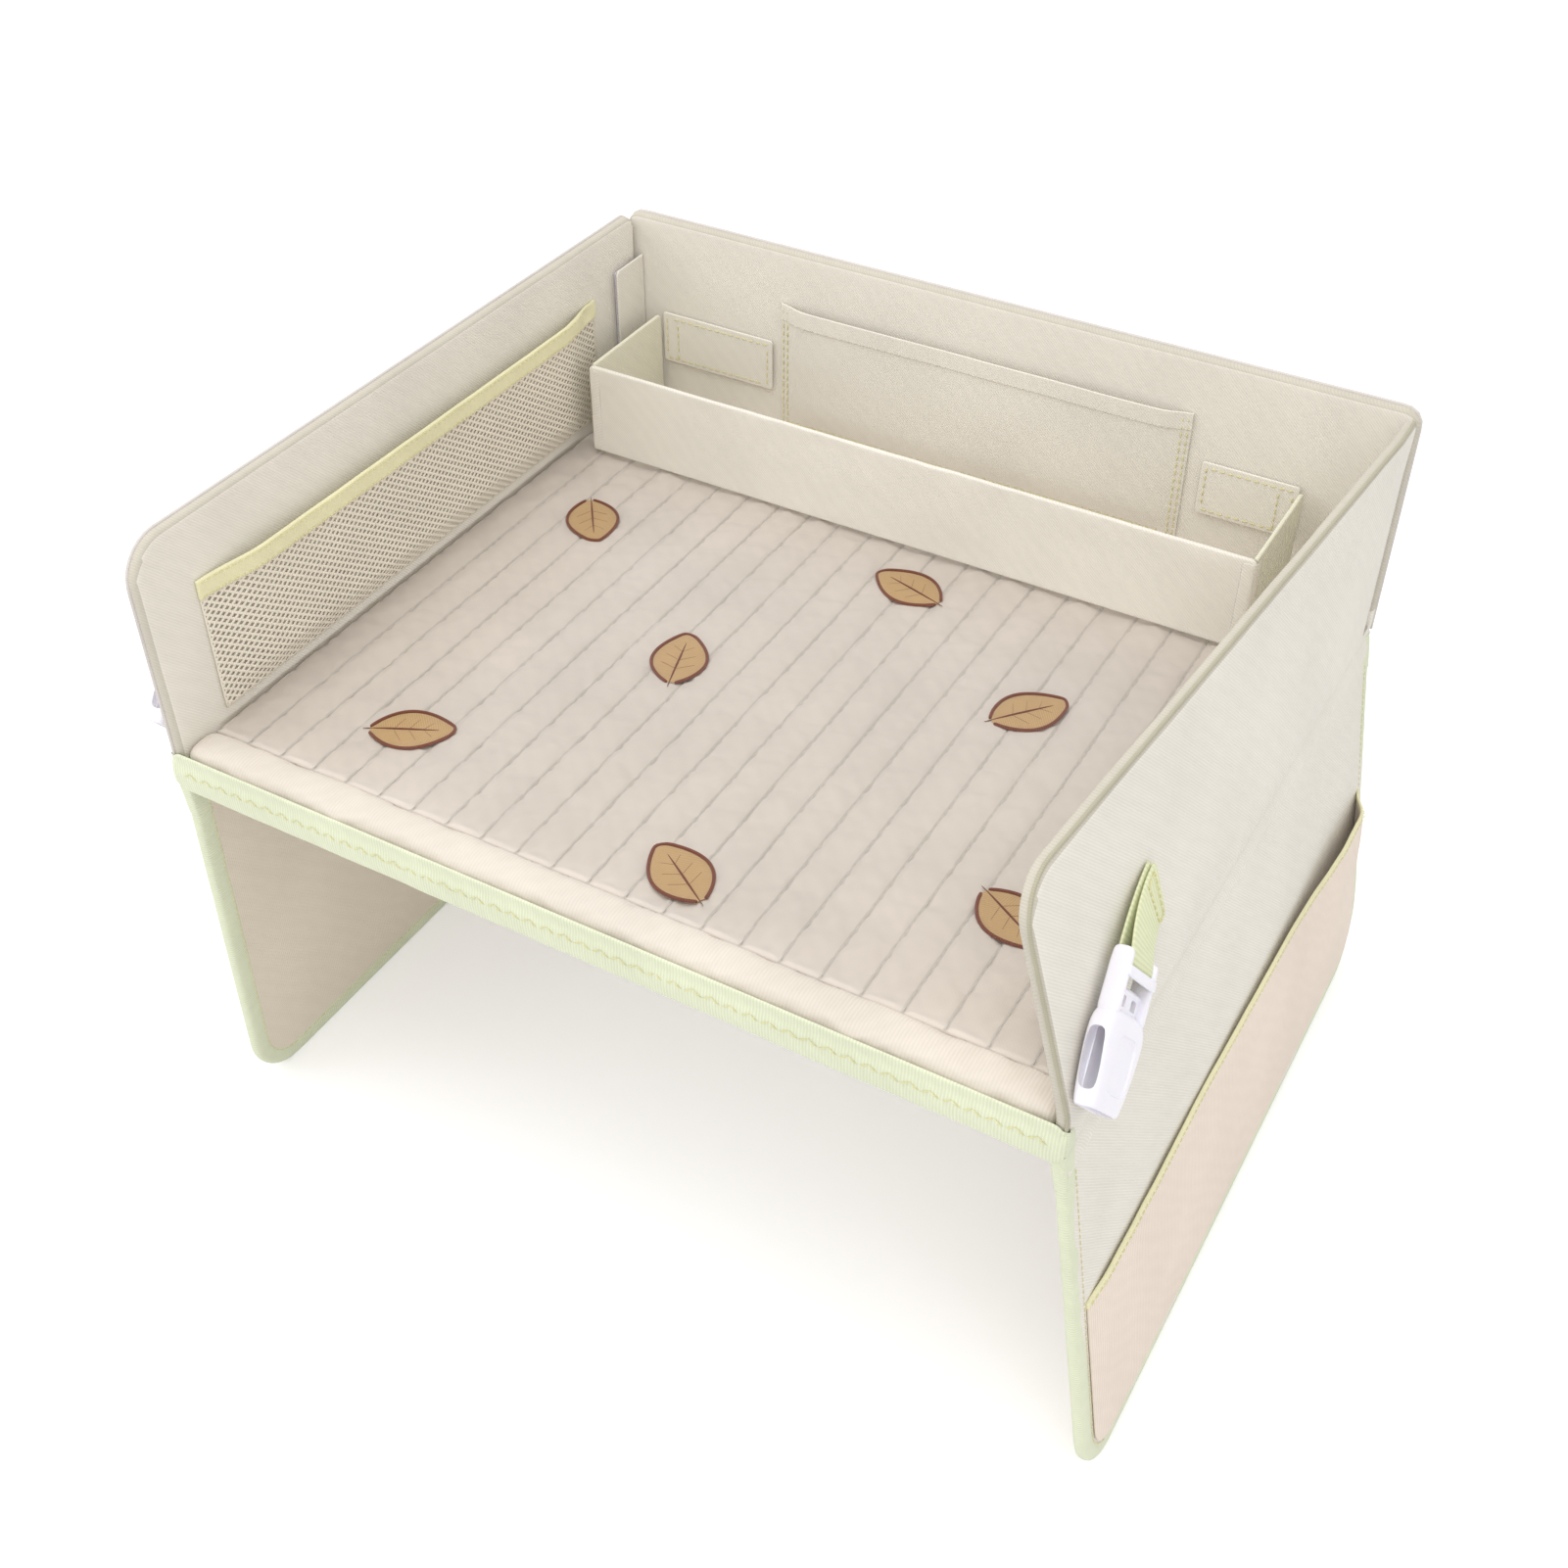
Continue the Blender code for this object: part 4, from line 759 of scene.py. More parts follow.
class TRAY_OT_quilted_top(Operator):
    """Make the channel quilted top, its leaf patches, the clear film over it and the cover below"""
    bl_idname = "tray_table.quilted_top"
    bl_label = "Quilted Top"

    def execute(self, context):
        sizes = context.scene.tray_sizes
        channels = round(2 * PAD_HALF_WIDTH / sizes.channel)
        pitch = 2 * PAD_HALF_WIDTH / channels
        shares = (0.0, 0.06, 0.2, 0.4, 0.6, 0.8, 0.94)
        across = [-PAD_HALF_WIDTH + (n + s) * pitch for n in range(channels) for s in shares]
        across.append(PAD_HALF_WIDTH)
        seams = [i % len(shares) == 0 for i in range(len(across))]
        rows = round((PAD_REAR_Y - PAD_FRONT_Y) / 0.0026)
        along = [PAD_FRONT_Y + (PAD_REAR_Y - PAD_FRONT_Y) * i / rows for i in range(rows + 1)]
        low, rise = TOP_Z - sizes.channel_depth, sizes.channel_depth
        leaves = leaf_places()
        points, pinned = [], {}
        for i, y in enumerate(along):
            for j, x in enumerate(across):
                share = (x + PAD_HALF_WIDTH) / pitch % 1.0
                crown = 0.0 if seams[j] else math.sin(math.pi * share) ** 0.5
                edge = i in (0, rows) or j in (0, len(across) - 1)
                drift = 0.0003 * ripple(x, y, 0.05, 7.0) if not edge else 0.0
                puff = 0.55
                points.append(Vector((x + drift, y, low + rise * crown * puff * (0 if edge else 1))))
                if seams[j] or edge:
                    pinned[len(points) - 1] = 1.0
        width = len(across)
        points = settle_cloth(points, width, pinned, 3.0, 0.035, 0.0024)
        for index, point in enumerate(points):
            point.z = min(point.z, TOP_Z + 0.0001)
            for leaf in leaves:
                reach = ((point.x - leaf[0]) ** 2 + (point.y - leaf[1]) ** 2) ** 0.5 / (sizes.leaf * 0.56)
                press = clamp((1.25 - reach) / 0.35)
                point.z = min(point.z, TOP_Z - 0.0009 * press)
        form = Form()
        top = [points[i * width:(i + 1) * width] for i in range(rows + 1)]
        marks = [[(x, y) for x in across] for y in along]
        form.grid(top, marks)
        rim = [top[0][j] for j in range(width)] + [top[i][-1] for i in range(1, rows + 1)]
        rim += [top[-1][j] for j in range(width - 2, -1, -1)] + [top[i][0] for i in range(rows - 1, 0, -1)]
        travel = [0.0]
        for a, b in zip(rim, rim[1:] + rim[:1]):
            travel.append(travel[-1] + (b - a).length)
        levels = ((0.0, 0.0), (0.0012, 0.0001), (0.006, 0.0001), (0.0130, 0.0001), (0.0136, 0.0))
        drops = []
        for down, out in levels:
            ring = []
            for point in rim:
                at_side = abs(point.x) > PAD_HALF_WIDTH - 1e-4
                side = Vector((point.x / PAD_HALF_WIDTH, 0, 0)) if at_side else Vector()
                ring.append(Vector((point.x, point.y, max(point.z - down, BOARD_Z - 0.0001))) + side * out)
            drops.append(ring)
        form.grid(drops, [[(t, d) for t in travel] for d, _ in levels], closed=True)
        floor = drops[-1]
        corner = width + rows - 1
        front, rear = floor[1:width - 1], floor[corner + 1:corner + width - 1][::-1]
        form.grid([front, rear], [marks[0][1:-1], marks[-1][1:-1]])
        form.polygon(floor[width - 2:corner + 2])
        form.polygon(floor[corner + width - 2:] + floor[:2])
        quilt = form.piece("quilted_top", "tray", ["brushed_quilt_cloth"], ("quilted_pad", "base_foam"),
                           "quilt_fabric", levels=0)

        form = Form()
        for j, x in enumerate(across[1:-1], 1):
            if seams[j]:
                line = [Vector((x, y)) for y in (PAD_FRONT_Y + 0.001, PAD_REAR_Y - 0.001)]
                stitch_run(form, line, lambda u, v, depth: Vector((u, v, low + 0.0001 - depth)), 0.0,
                           sizes.stitch, radius=0.00022, lift=0.0001)
        # The quilt's stitches are in the darker thread, as painted shade in the seams
        form.piece("quilt_stitches", "tray", ["cream_thread_with_painted_shade"], levels=0)
        self.patches(sizes, leaves)
        self.film()
        self.under_cover()
        dress_board(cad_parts["base_board"])
        return {"FINISHED"}

    def patches(self, sizes, leaves):
        """Sew the leaf patches on: a satin stitched field, a raised edge and a vein."""
        form = Form()
        half, level = sizes.leaf / 2, TOP_Z - 0.0004
        for x, y, turn in leaves:
            spin = Matrix.Rotation(turn, 2)

            def at(u, v, z):
                spot = spin @ Vector((u, v)) + Vector((x, y))
                return Vector((spot.x, spot.y, z))

            def half_width(share):
                rise = math.sin(math.pi * min(1.0, share * 0.96 + 0.02)) ** 0.75
                return half * 0.72 * rise * (1.06 - 0.25 * share)
            rows, marks = [], []
            for i in range(17):
                share = i / 16
                reach = half_width(share)
                rows.append([at(-half + 2 * half * share, reach * s, level - 0.0003 + 0.0004 * (1 - s * s))
                             for s in (-1, -0.75, -0.4, 0, 0.4, 0.75, 1)])
                marks.append([(-half + 2 * half * share + 0.3 * reach * abs(s), reach * s)
                              for s in (-1, -0.75, -0.4, 0, 0.4, 0.75, 1)])
            form.grid(rows, marks)
            floor = [[p - Vector((0, 0, 0.0006)) for p in row] for row in rows]
            form.grid(floor, marks, flip=True)
            rim = [(-half + 2 * half * i / 24, half_width(i / 24)) for i in range(25)]
            rim += [(u, -v) for u, v in reversed(rim[:-1])]
            edge = [at(u, v, level - 0.00005) for u, v in rim]
            form.cord(edge, 0.00085, sides=8, finish_index=1)
            form.cord([at(-half * 1.18, 0.0008, level - 0.0001), at(-half * 0.5, 0.0004, level + 0.0002),
                       at(0, 0, level + 0.0002), at(half * 0.62, -0.0004, level + 0.0001)], 0.00055, sides=8,
                      taper=True, finish_index=1)
            for share in (-0.45, -0.1, 0.25):
                for side in (-1, 1):
                    tip = half_width(share / 2 + 0.68) * 0.62
                    form.cord([at(half * share, 0.0002 * side, level + 0.0001),
                               at(half * (share + 0.22), side * tip, level - 0.00005)], 0.00036, taper=True,
                              finish_index=1)
        form.piece("leaf_patches", "tray", ["satin_stitch_tan", "satin_stitch_brown"], levels=1)

    def film(self):
        """Lay the clear film over the quilt, with the soft waves that it keeps from its folds."""
        rows, marks = [], []
        for i in range(56):
            y = PAD_FRONT_Y + 0.0006 + (FILM_REAR_Y - PAD_FRONT_Y - 0.0006) * i / 55
            row, mark = [], []
            for j in range(79):
                x = (PAD_HALF_WIDTH - 0.0005) * (2 * j / 78 - 1)
                rise = 0.00020 + 0.00022 * ripple(x, y, 0.028, 4.0) + 0.00008 * ripple(x, y, 0.009, 5.0)
                row.append(Vector((x, y, FILM_Z + (-0.0001 if i in (0, 55) or j in (0, 78) else rise))))
                mark.append((x, y))
            rows.append(row)
            marks.append(mark)
        form = Form()
        form.grid(rows, marks)
        film = form.piece("clear_cover_film", "tray", ["clear_soft_vinyl"], ("clear_top_film",), "clear_film")
        if film.data.polygons[0].normal.z < 0:
            film.data.flip_normals()

    def under_cover(self):
        """Close the tray below with its woven cover."""
        outline = Outline(PAD_FRONT_Y, PAD_REAR_Y, -PAD_HALF_WIDTH, PAD_HALF_WIDTH, *[0.002] * 4)

        def sag(along, up, near):
            return (0.0002 + 0.0002 * ripple(along, up, 0.06, 2.0)) * near

        form = Form()
        soft_panel(form, outline, lambda along, up, depth: Vector((up, along, UNDER_Z + depth)),
                   (0.0, 0.0012),
                   step=0.009, edge=0.0006, shape=sag)
        cover = form.piece("under_cover", "tray", ["twill_polyester_cover"] * 2, ("base_under_cover",),
                           "cream_fabric")


def leaf_places():
    """Return where the leaf patches lie and how each is turned."""
    return ((-0.122, -0.118, 0.5), (0.020, -0.136, 2.6), (0.142, -0.096, -0.5), (-0.052, -0.020, 1.9),
            (-0.146, 0.052, -0.9), (0.096, 0.022, 0.9), (0.010, 0.078, 2.9), (0.160, 0.080, 1.5))


def dress_board(node):
    node.data.materials.clear()
    node.data.materials.append(finish("pressed_grey_board"))


class TRAY_OT_front_roll(Operator):
    """Make the padded roll on the child's side and the ribbed band sewn along it"""
    bl_idname = "tray_table.front_roll"
    bl_label = "Front Roll"

    def execute(self, context):
        low, high = UNDER_Z, ROLL_TOP_Z
        middle_y, middle_z = FRONT_Y + ROLL_DEPTH / 2, (low + high) / 2
        half_y, half_z = ROLL_DEPTH / 2, (high - low) / 2
        sides, corner = 28, 0.0078
        section = []
        for i in range(sides):
            y, z = squared(2 * math.pi * i / sides + math.pi, 0.62)
            section.append((half_y * y, half_z * z))
        count = 130
        points, pinned = [], {}
        for i in range(count + 1):
            x = -PAD_HALF_WIDTH + 2 * PAD_HALF_WIDTH * i / count
            to_end = min(1.0, (PAD_HALF_WIDTH - abs(x)) / 0.012)
            draw = 1 - 0.22 * (1 - math.sqrt(1 - (1 - to_end) ** 2))
            for j in range(sides + 1):
                y, z = section[j % sides]
                size = draw * 0.972
                points.append(Vector((x, middle_y + y * size, middle_z + z * size)))
                seam = j in (0, sides) or 0.45 < (j / sides) < 0.55
                if seam or i in (0, count):
                    pinned[len(points) - 1] = 1.0
        points = settle_cloth(points, sides + 1, pinned, 2.5, 0.012, 0.0007)
        rings, spots = [], []
        for i in range(count + 1):
            ring = points[i * (sides + 1):(i + 1) * (sides + 1) - 1]
            rings.append([Vector((p.x, min(p.y, FRONT_Y + ROLL_DEPTH), max(p.z, low))) for p in ring])
            spots.append([(ring[0].x, 0.084 * j / sides) for j in range(sides + 1)])
        form = Form()
        form.sweep(rings, spots)
        roll = form.piece("padded_front_roll", "tray", ["ribbed_roll_cloth"], ("front_roll",), "cream_fabric")
        self.band()
        return {"FINISHED"}

    def band(self):
        """Sew the pale green band along the roll's face, with its fold and its zigzag."""
        outline = Outline(-BAND_HALF_LENGTH, BAND_HALF_LENGTH, BAND_LOW, BAND_HIGH, *[0.006] * 4)

        def place(along, up, depth):
            return Vector((along, BAND_FACE_Y + depth, up))

        def shape(along, up, near):
            fold = math.exp(-((up - 0.2026) / 0.0010) ** 2)
            puff = math.sin(math.pi * clamp((up - BAND_LOW) / 0.0150))
            wave = 0.00035 * ripple(along, up * 2, 0.016, 6.0)
            return (0.0007 * fold - 0.0008 * puff + wave) if near else 0.0

        form = Form()
        soft_panel(form, outline, place, (0.0, 0.0012), step=0.0025, edge=0.0011, rim_share=0.7, shape=shape)
        band = form.piece("front_band", "tray", ["grosgrain_green_binding"] * 2, ("front_binding",),
                          "green_binding")
        form = Form()
        line = []
        count = 96
        for i in range(count + 1):
            x = -0.194 + 0.388 * i / count
            line.append(Vector((x, 0.1976 + (0.0013 if i % 2 else -0.0013))))
        for a, b in zip(line, line[1:]):
            lift = 0.0008 + 0.0002
            form.cord([place(a.x, a.y, -lift + 0.0005),
                       place((a.x + b.x) / 2, (a.y + b.y) / 2, -lift - 0.0002),
                       place(b.x, b.y, -lift + 0.0005)], 0.00026, sides=6, taper=True)
        form.piece("front_band_zigzag", "tray", ["polyester_sewing_thread"], levels=0)


def add_wall(name, body, outline, surface, nodes, dressed, corners, shape, piping="pale_seam_piping"):
    """Make one boarded wall: its cloth bag and the piping in its top seam."""
    form = Form()
    soft_panel(form, outline, surface, (0.0, WALL_THICKNESS), step=0.006, edge=0.0027, shape=shape,
               rim_shade_finish=2)
    # The third finish paints shade on the wall's top rim
    cover = form.piece(name + "_cover", body, ["twill_polyester_cover"] * 2 + ["rim_painted_shade_twill"], nodes,
                       "cream_fabric")
    form = Form()
    rim_cord(form, outline, corners, surface, SEAM_DEPTH, 0.0002, 0.00075)
    form.piece(name + "_seam_piping", body, [piping], levels=0)
    dress_board(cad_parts[dressed])


class TRAY_OT_side_walls(Operator):
    """Make the two side walls and the loop tape at their rear edges"""
    bl_idname = "tray_table.side_walls"
    bl_label = "Side Walls"

    def execute(self, context):
        for side, turn in SIDES.items():
            body = side + "_wall"
            surface = side_wall_surface(side)
            outline = Outline(FRONT_Y, SIDE_WALL_REAR_Y, WALL_LOW_UP, WALL_HEIGHT, 0.0015, WALL_FRONT_CORNER,
                              0.0015, WALL_REAR_CORNER)

            def shape(along, up, near, seed=turn):
                slack = 0.00045 if up > 0.012 else 0.0002
                fine = 0.00012 * ripple(along, up, 0.012, seed)
                return slack * ripple(along, up, 0.045, 11.0 + seed) + fine

            add_wall(body, body, outline, surface,
                     (body + "_inner_cover", body + "_outer_cover", body + "_fold_piping"), body + "_board",
                     ("front low", "front high", "rear high", "rear low"), shape,
                     "olive_seam_piping" if side == "right" else "pale_seam_piping")
            low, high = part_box(body + "_loop_tape")
            add_tape(side + "_wall_tape", body, low, high, 0, body + "_loop_tape")
        return {"FINISHED"}


def add_tape(name, body, low, high, flat_axis, node):
    """Make a patch of hook or loop tape in the place of its CAD node."""
    low, high = low - ORIGIN, high - ORIGIN
    other = 1 - flat_axis
    outline = Outline(low[other], high[other], low.z, high.z, 0.001, 0.001, 0.001, 0.001)

    def place(along, up, depth):
        spot = [0.0, 0.0, up]
        spot[other], spot[flat_axis] = along, low[flat_axis] + depth
        return Vector(spot)

    form = Form()
    soft_panel(form, outline, place, (0.0, high[flat_axis] - low[flat_axis]), step=0.004, edge=0.0004)
    piece = form.piece(name, body, ["hook_and_loop_tape"] * 2, (node,), "hook_tape", levels=0)


class TRAY_OT_mesh_pocket(Operator):
    """Make the net pocket on the left wall and the flat binding on its mouth"""
    bl_idname = "tray_table.mesh_pocket"
    bl_label = "Net Pocket"

    def execute(self, context):
        sizes = context.scene.tray_sizes
        surface = side_wall_surface("left")
        gap = pocket_gap(MESH_START, MESH_END, MESH_TAPER, MESH_GAPE)
        seat = WALL_THICKNESS + 0.0004

        def place(along, up, depth):
            share = clamp((up - MESH_LOW) / (MESH_TOP - MESH_LOW))
            sag = 0.0006 * ripple(along, up, 0.05, 21.0) * min(1.0, share * 3)
            return surface(along, up, seat + gap(along, share) + sag * gap(along, 1.0) / MESH_GAPE + depth)

        cell = sizes.net_cell
        posts = round((MESH_END - MESH_START) / (cell / 2) / 2) * 2
        lines = round((MESH_TOP - MESH_LOW) / (cell * 0.70 / 2) / 2) * 2
        mesh = bmesh.new()
        layer = mesh.loops.layers.uv.new("Cloth")
        spots = {}
        for i in range(posts + 1):
            for j in range(lines + 1):
                if (i + j) % 2 == 0:
                    along = MESH_START + (MESH_END - MESH_START) * i / posts
                    up = MESH_LOW + (MESH_TOP - MESH_LOW) * j / lines
                    spots[i, j] = (mesh.verts.new(place(along, up, 0.0004) + ORIGIN), (along, up))
        for i in range(posts + 1):
            for j in range(lines + 1):
                if (i + j) % 2:
                    ring = [spots[s] for s in ((i - 1, j), (i, j - 1), (i + 1, j), (i, j + 1)) if s in spots]
                    if len(ring) > 2:
                        face = mesh.faces.new([corner for corner, _ in ring])
                        for loop, (_, mark) in zip(face.loops, ring):
                            loop[layer].uv = mark
                        face.smooth = True
        mesh.normal_update()
        holes = mesh.faces[:]
        bmesh.ops.inset_individual(mesh, faces=holes, thickness=cell * NET_YARN / 2,
                                   use_even_offset=True, use_interpolate=True)
        bmesh.ops.delete(mesh, geom=holes, context="FACES")
        data = bpy.data.meshes.new("net_pocket")
        mesh.to_mesh(data)
        mesh.free()
        data.materials.append(finish("knitted_net_yarn"))
        net = bpy.data.objects.new("net_pocket", data)
        context.scene.collection.objects.link(net)
        yarn = net.modifiers.new("yarn", "SOLIDIFY")
        yarn.thickness = 0.0005
        yarn.offset = 0.0
        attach(net, "left_wall")
        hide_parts("left_mesh_pocket")

        form = Form()
        outline = Outline(MESH_START - 0.0005, MESH_END + 0.0005, MESH_TOP + 0.0003, MESH_TOP + 0.0093)

        def shape(along, up, near):
            rear = clamp((along - 0.07) / 0.05)
            return (0.0004 * ripple(along, up, 0.02, 31.0)
                    + 0.0016 * rear * ripple(along, up, 0.008, 33.0) * (up > MESH_TOP + 0.002))

        def on_mouth(along, up, depth):
            return surface(along, up, seat + gap(along, 1.0) + depth)

        soft_panel(form, outline, on_mouth, (0.0, 0.0018), step=0.003, edge=0.0009, shape=shape)
        binding = form.piece("net_pocket_binding", "left_wall", ["flat_yellow_binding"] * 2,
                             ("left_mesh_pocket_binding",), "yellow_binding")
        form = Form()
        for level in (MESH_TOP + 0.0015, MESH_TOP + 0.0080):
            stitch_run(form, [(MESH_START + 0.001, level), (MESH_END - 0.012, level)],
                       lambda u, v, depth: on_mouth(u, v, 0.0018 - depth), 0.0, 0.0022, radius=0.0002)
        form.piece("net_binding_stitches", "left_wall", ["polyester_sewing_thread"], levels=0)
        return {"FINISHED"}


class TRAY_OT_back_wall(Operator):
    """Make the back wall with its stitched pocket, corner ears and tapes"""
    bl_idname = "tray_table.back_wall"
    bl_label = "Back Wall"

    def execute(self, context):
        sizes = context.scene.tray_sizes
        outline = Outline(-HALF_WIDTH, HALF_WIDTH, WALL_LOW_UP, WALL_HEIGHT, 0.0015, WALL_REAR_CORNER,
                          0.0015, WALL_REAR_CORNER)

        def shape(along, up, near):
            return 0.0004 * ripple(along, up, 0.05, 41.0) + 0.0001 * ripple(along, up, 0.012, 42.0)

        add_wall("back_wall", "back_wall", outline, back_wall_surface,
                 ("back_wall_inner_cover", "back_wall_outer_cover", "back_wall_fold_piping"),
                 "back_wall_board", ("front low", "front high", "rear high", "rear low"), shape)
        self.pocket(sizes)
        for side in SIDES:
            low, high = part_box(side + "_corner_ear")
            low, high = low - ORIGIN, high - ORIGIN
            ear = Outline(low.y, high.y, low.z, high.z, 0.003, 0.003, 0.0, 0.0)
            form = Form()
            soft_panel(form, ear, lambda along, up, depth: Vector((low.x + depth, along, up)),
                       (0.0, high.x - low.x), step=0.004, edge=0.0006)
            piece = form.piece(side + "_ear", "back_wall", ["twill_polyester_cover"] * 2,
                               (side + "_corner_ear",), "cream_fabric")
            low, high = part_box(side + "_ear_hook_tape")
            add_tape(side + "_ear_tape", "back_wall", low, high, 0, side + "_ear_hook_tape")
            low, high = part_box(side + "_tab_loop_tape")
            add_tape(side + "_tab_tape", "back_wall", low, high, 1, side + "_tab_loop_tape")
        return {"FINISHED"}

    def pocket(self, sizes):
        """Sew the flat pocket on: its cloth, the fold along its mouth and the stitches down its sides."""
        start, end = BACK_POCKET
        low, high = BACK_POCKET_UP
        gap = pocket_gap(start, end, BACK_POCKET_TAPER, BACK_POCKET_GAPE)

        def place(along, up, depth):
            share = clamp((up - low) / (high - low))
            loose = 0.0009 * ripple(along, up, 0.045, 51.0) * gap(along, 1.0) / BACK_POCKET_GAPE
            return back_wall_surface(along, up, WALL_THICKNESS + 0.0003 + gap(along, share) + loose + depth)

        form = Form()
        outline = Outline(start, end, low, high)
        soft_panel(form, outline, place, (0.0, 0.0009), step=0.005, edge=0.00045)
        hem = Outline(start, end, high - 0.0085, high + 0.0002)
        soft_panel(form, hem, lambda a, u, d: place(a, u, 0.00088 + d), (0.0, 0.0006), step=0.004,
                   edge=0.0003)
        pocket = form.piece("stitched_back_pocket", "back_wall", ["twill_polyester_cover"] * 2,
                            ("back_pocket",), "cream_fabric")
        form = Form()

        def face(along, up, depth):
            return place(along, up, 0.0009 - depth)

        for edge, inward in ((start, 1), (end, -1)):
            for inset in (0.0016, 0.0042):
                x = edge + inward * inset
                stitch_run(form, [(x, low + 0.001), (x, high - 0.001)], face, -0.0002, sizes.stitch)
        stitch_run(form, [(start + 0.005, high - 0.0080), (end - 0.005, high - 0.0080)],
                   lambda a, u, d: place(a, u, 0.0015 - d), 0.0, sizes.stitch, radius=0.00018, finish_index=1)
        stitch_run(form, [(start + 0.005, low + 0.0016), (end - 0.005, low + 0.0016)], face, 0.0,
                   sizes.stitch)
        form.piece("back_pocket_stitches", "back_wall", ["polyester_sewing_thread", "cream_thread_with_painted_shade"],
                   levels=0)


class TRAY_OT_storage_box(Operator):
    """Make the storage box: its front panel, its two ends and the stitched tabs that hold them"""
    bl_idname = "tray_table.storage_box"
    bl_label = "Storage Box"

    def execute(self, context):
        sizes = context.scene.tray_sizes
        x0, x1 = BOX_X
        z0, z1 = BOX_Z
        form = Form()
        outline = Outline(x0, x1, z0, z1, 0.0012, 0.003, 0.0012, 0.003)

        def bow(along, up, near):
            near_top = clamp((up - z1 + 0.010) / 0.008)
            fine = (0.0002 + 0.0005 * near_top) * ripple(along, up, 0.011, 62.0)
            return 0.0005 * ripple(along, up, 0.06, 61.0) + fine

        soft_panel(form, outline, lambda along, up, depth: Vector((along, BOX_Y[0] + depth, up)),
                   (0.0, BOX_Y[1] - BOX_Y[0]), step=0.005, edge=0.0012, shape=bow)
        front = form.piece("box_front", "storage_box", ["twill_polyester_cover"] * 2, ("box_front_panel",),
                           "cream_fabric")
        for side, turn in SIDES.items():
            edge = x0 if turn < 0 else x1
            form = Form()
            outline = Outline(BOX_END_Y[0], BOX_END_Y[1], z0, z1, 0.001, 0.001, 0.001, 0.003)
            soft_panel(form, outline, lambda along, up, depth: Vector((edge - turn * depth, along, up)),
                       (0.0, 0.0020), step=0.005, edge=0.0009,
                       shape=lambda along, up, near: 0.0002 * ripple(along, up, 0.02, 63.0))
            # The ends' straw tint is painted shade
            end = form.piece("box_" + side + "_end_panel", "box_" + side + "_end",
                             ["shade_tinted_box_end_cloth"] * 2, ("box_" + side + "_end",), "cream_fabric")
            self.tab(side, sizes)
            self.corner(side, edge, turn)
        return {"FINISHED"}

    def tab(self, side, sizes):
        """Make a tab with the dashed stitches round its edge."""
        low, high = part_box("box_" + side + "_tab")
        low, high = low - ORIGIN, high - ORIGIN
        outline = Outline(low.x, high.x, low.z, high.z, 0.0015, 0.0015, 0.0015, 0.0015)

        def place(along, up, depth):
            return Vector((along, low.y + depth, up))

        form = Form()
        soft_panel(form, outline, place, (0.0, high.y - low.y), step=0.004, edge=0.0006,
                   shape=lambda along, up, near: 0.00012 * ripple(along, up, 0.012, 64.0))
        tab = form.piece("box_" + side + "_tab_cloth", "box_" + side + "_tab", ["twill_polyester_cover"] * 2,
                         ("box_" + side + "_tab",), "cream_fabric")
        form = Form()
        inset = 0.0026
        left, right, bottom, top = low.x + inset, high.x - inset, low.z + inset, high.z - inset
        lines = [[(left, bottom), (right, bottom)], [(right, bottom), (right, top)],
                 [(right, top), (left, top)], [(left, top), (left, bottom)]]
        root = high.x - 0.009 if side == "right" else low.x + 0.009
        lines.append([(root, bottom), (root, top)])
        for line in lines:
            stitch_run(form, line, place, 0.0, sizes.stitch)
        form.piece("box_" + side + "_tab_stitches", "box_" + side + "_tab", ["polyester_sewing_thread"],
                   levels=0)

    def corner(self, side, edge, turn):
        """Fold the cloth round the box's front corner, over the fold that the end swings on."""
        form = Form()
        rows, marks = [], []
        path = [(edge - turn * 0.006, BOX_Y[0] - 0.0002), (edge - turn * 0.002, BOX_Y[0] - 0.00025),
                (edge - turn * 0.0004, BOX_Y[0] + 0.0001), (edge + turn * 0.00025, BOX_Y[0] + 0.0010),
                (edge + turn * 0.00025, BOX_Y[0] + 0.0030), (edge + turn * 0.0002, BOX_Y[0] + 0.0085)]
        for i in range(13):
            z = BOX_Z[0] + 0.0012 + (BOX_Z[1] - BOX_Z[0] - 0.0026) * i / 12
            rows.append([Vector((x, y, z)) for x, y in path])
            marks.append([(j * 0.002, z) for j in range(len(path))])
        form.grid(rows, marks)
        inner = [[Vector((x - turn * 0.00025, y + 0.00025, p.z)) for (x, y), p in zip(path, row)]
                 for row in rows]
        form.grid(inner, marks, flip=True)
        for a, b in ((0, 0), (-1, -1)):
            form.grid([rows[a], inner[b]], [marks[a], marks[b]])
        for j in (0, len(path) - 1):
            form.grid([[row[j] for row in rows], [row[j] for row in inner]],
                      [[m[j] for m in marks], [m[j] for m in marks]])
        piece = form.piece("box_" + side + "_corner_fold", None, ["twill_polyester_cover"],
                           slot="cream_fabric")
        start, end = (Vector((edge, BOX_Y[0] + y, BOX_Z[1])) + ORIGIN for y in (0.001, 0.0055))
        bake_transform(piece)
        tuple(start)
        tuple(end)


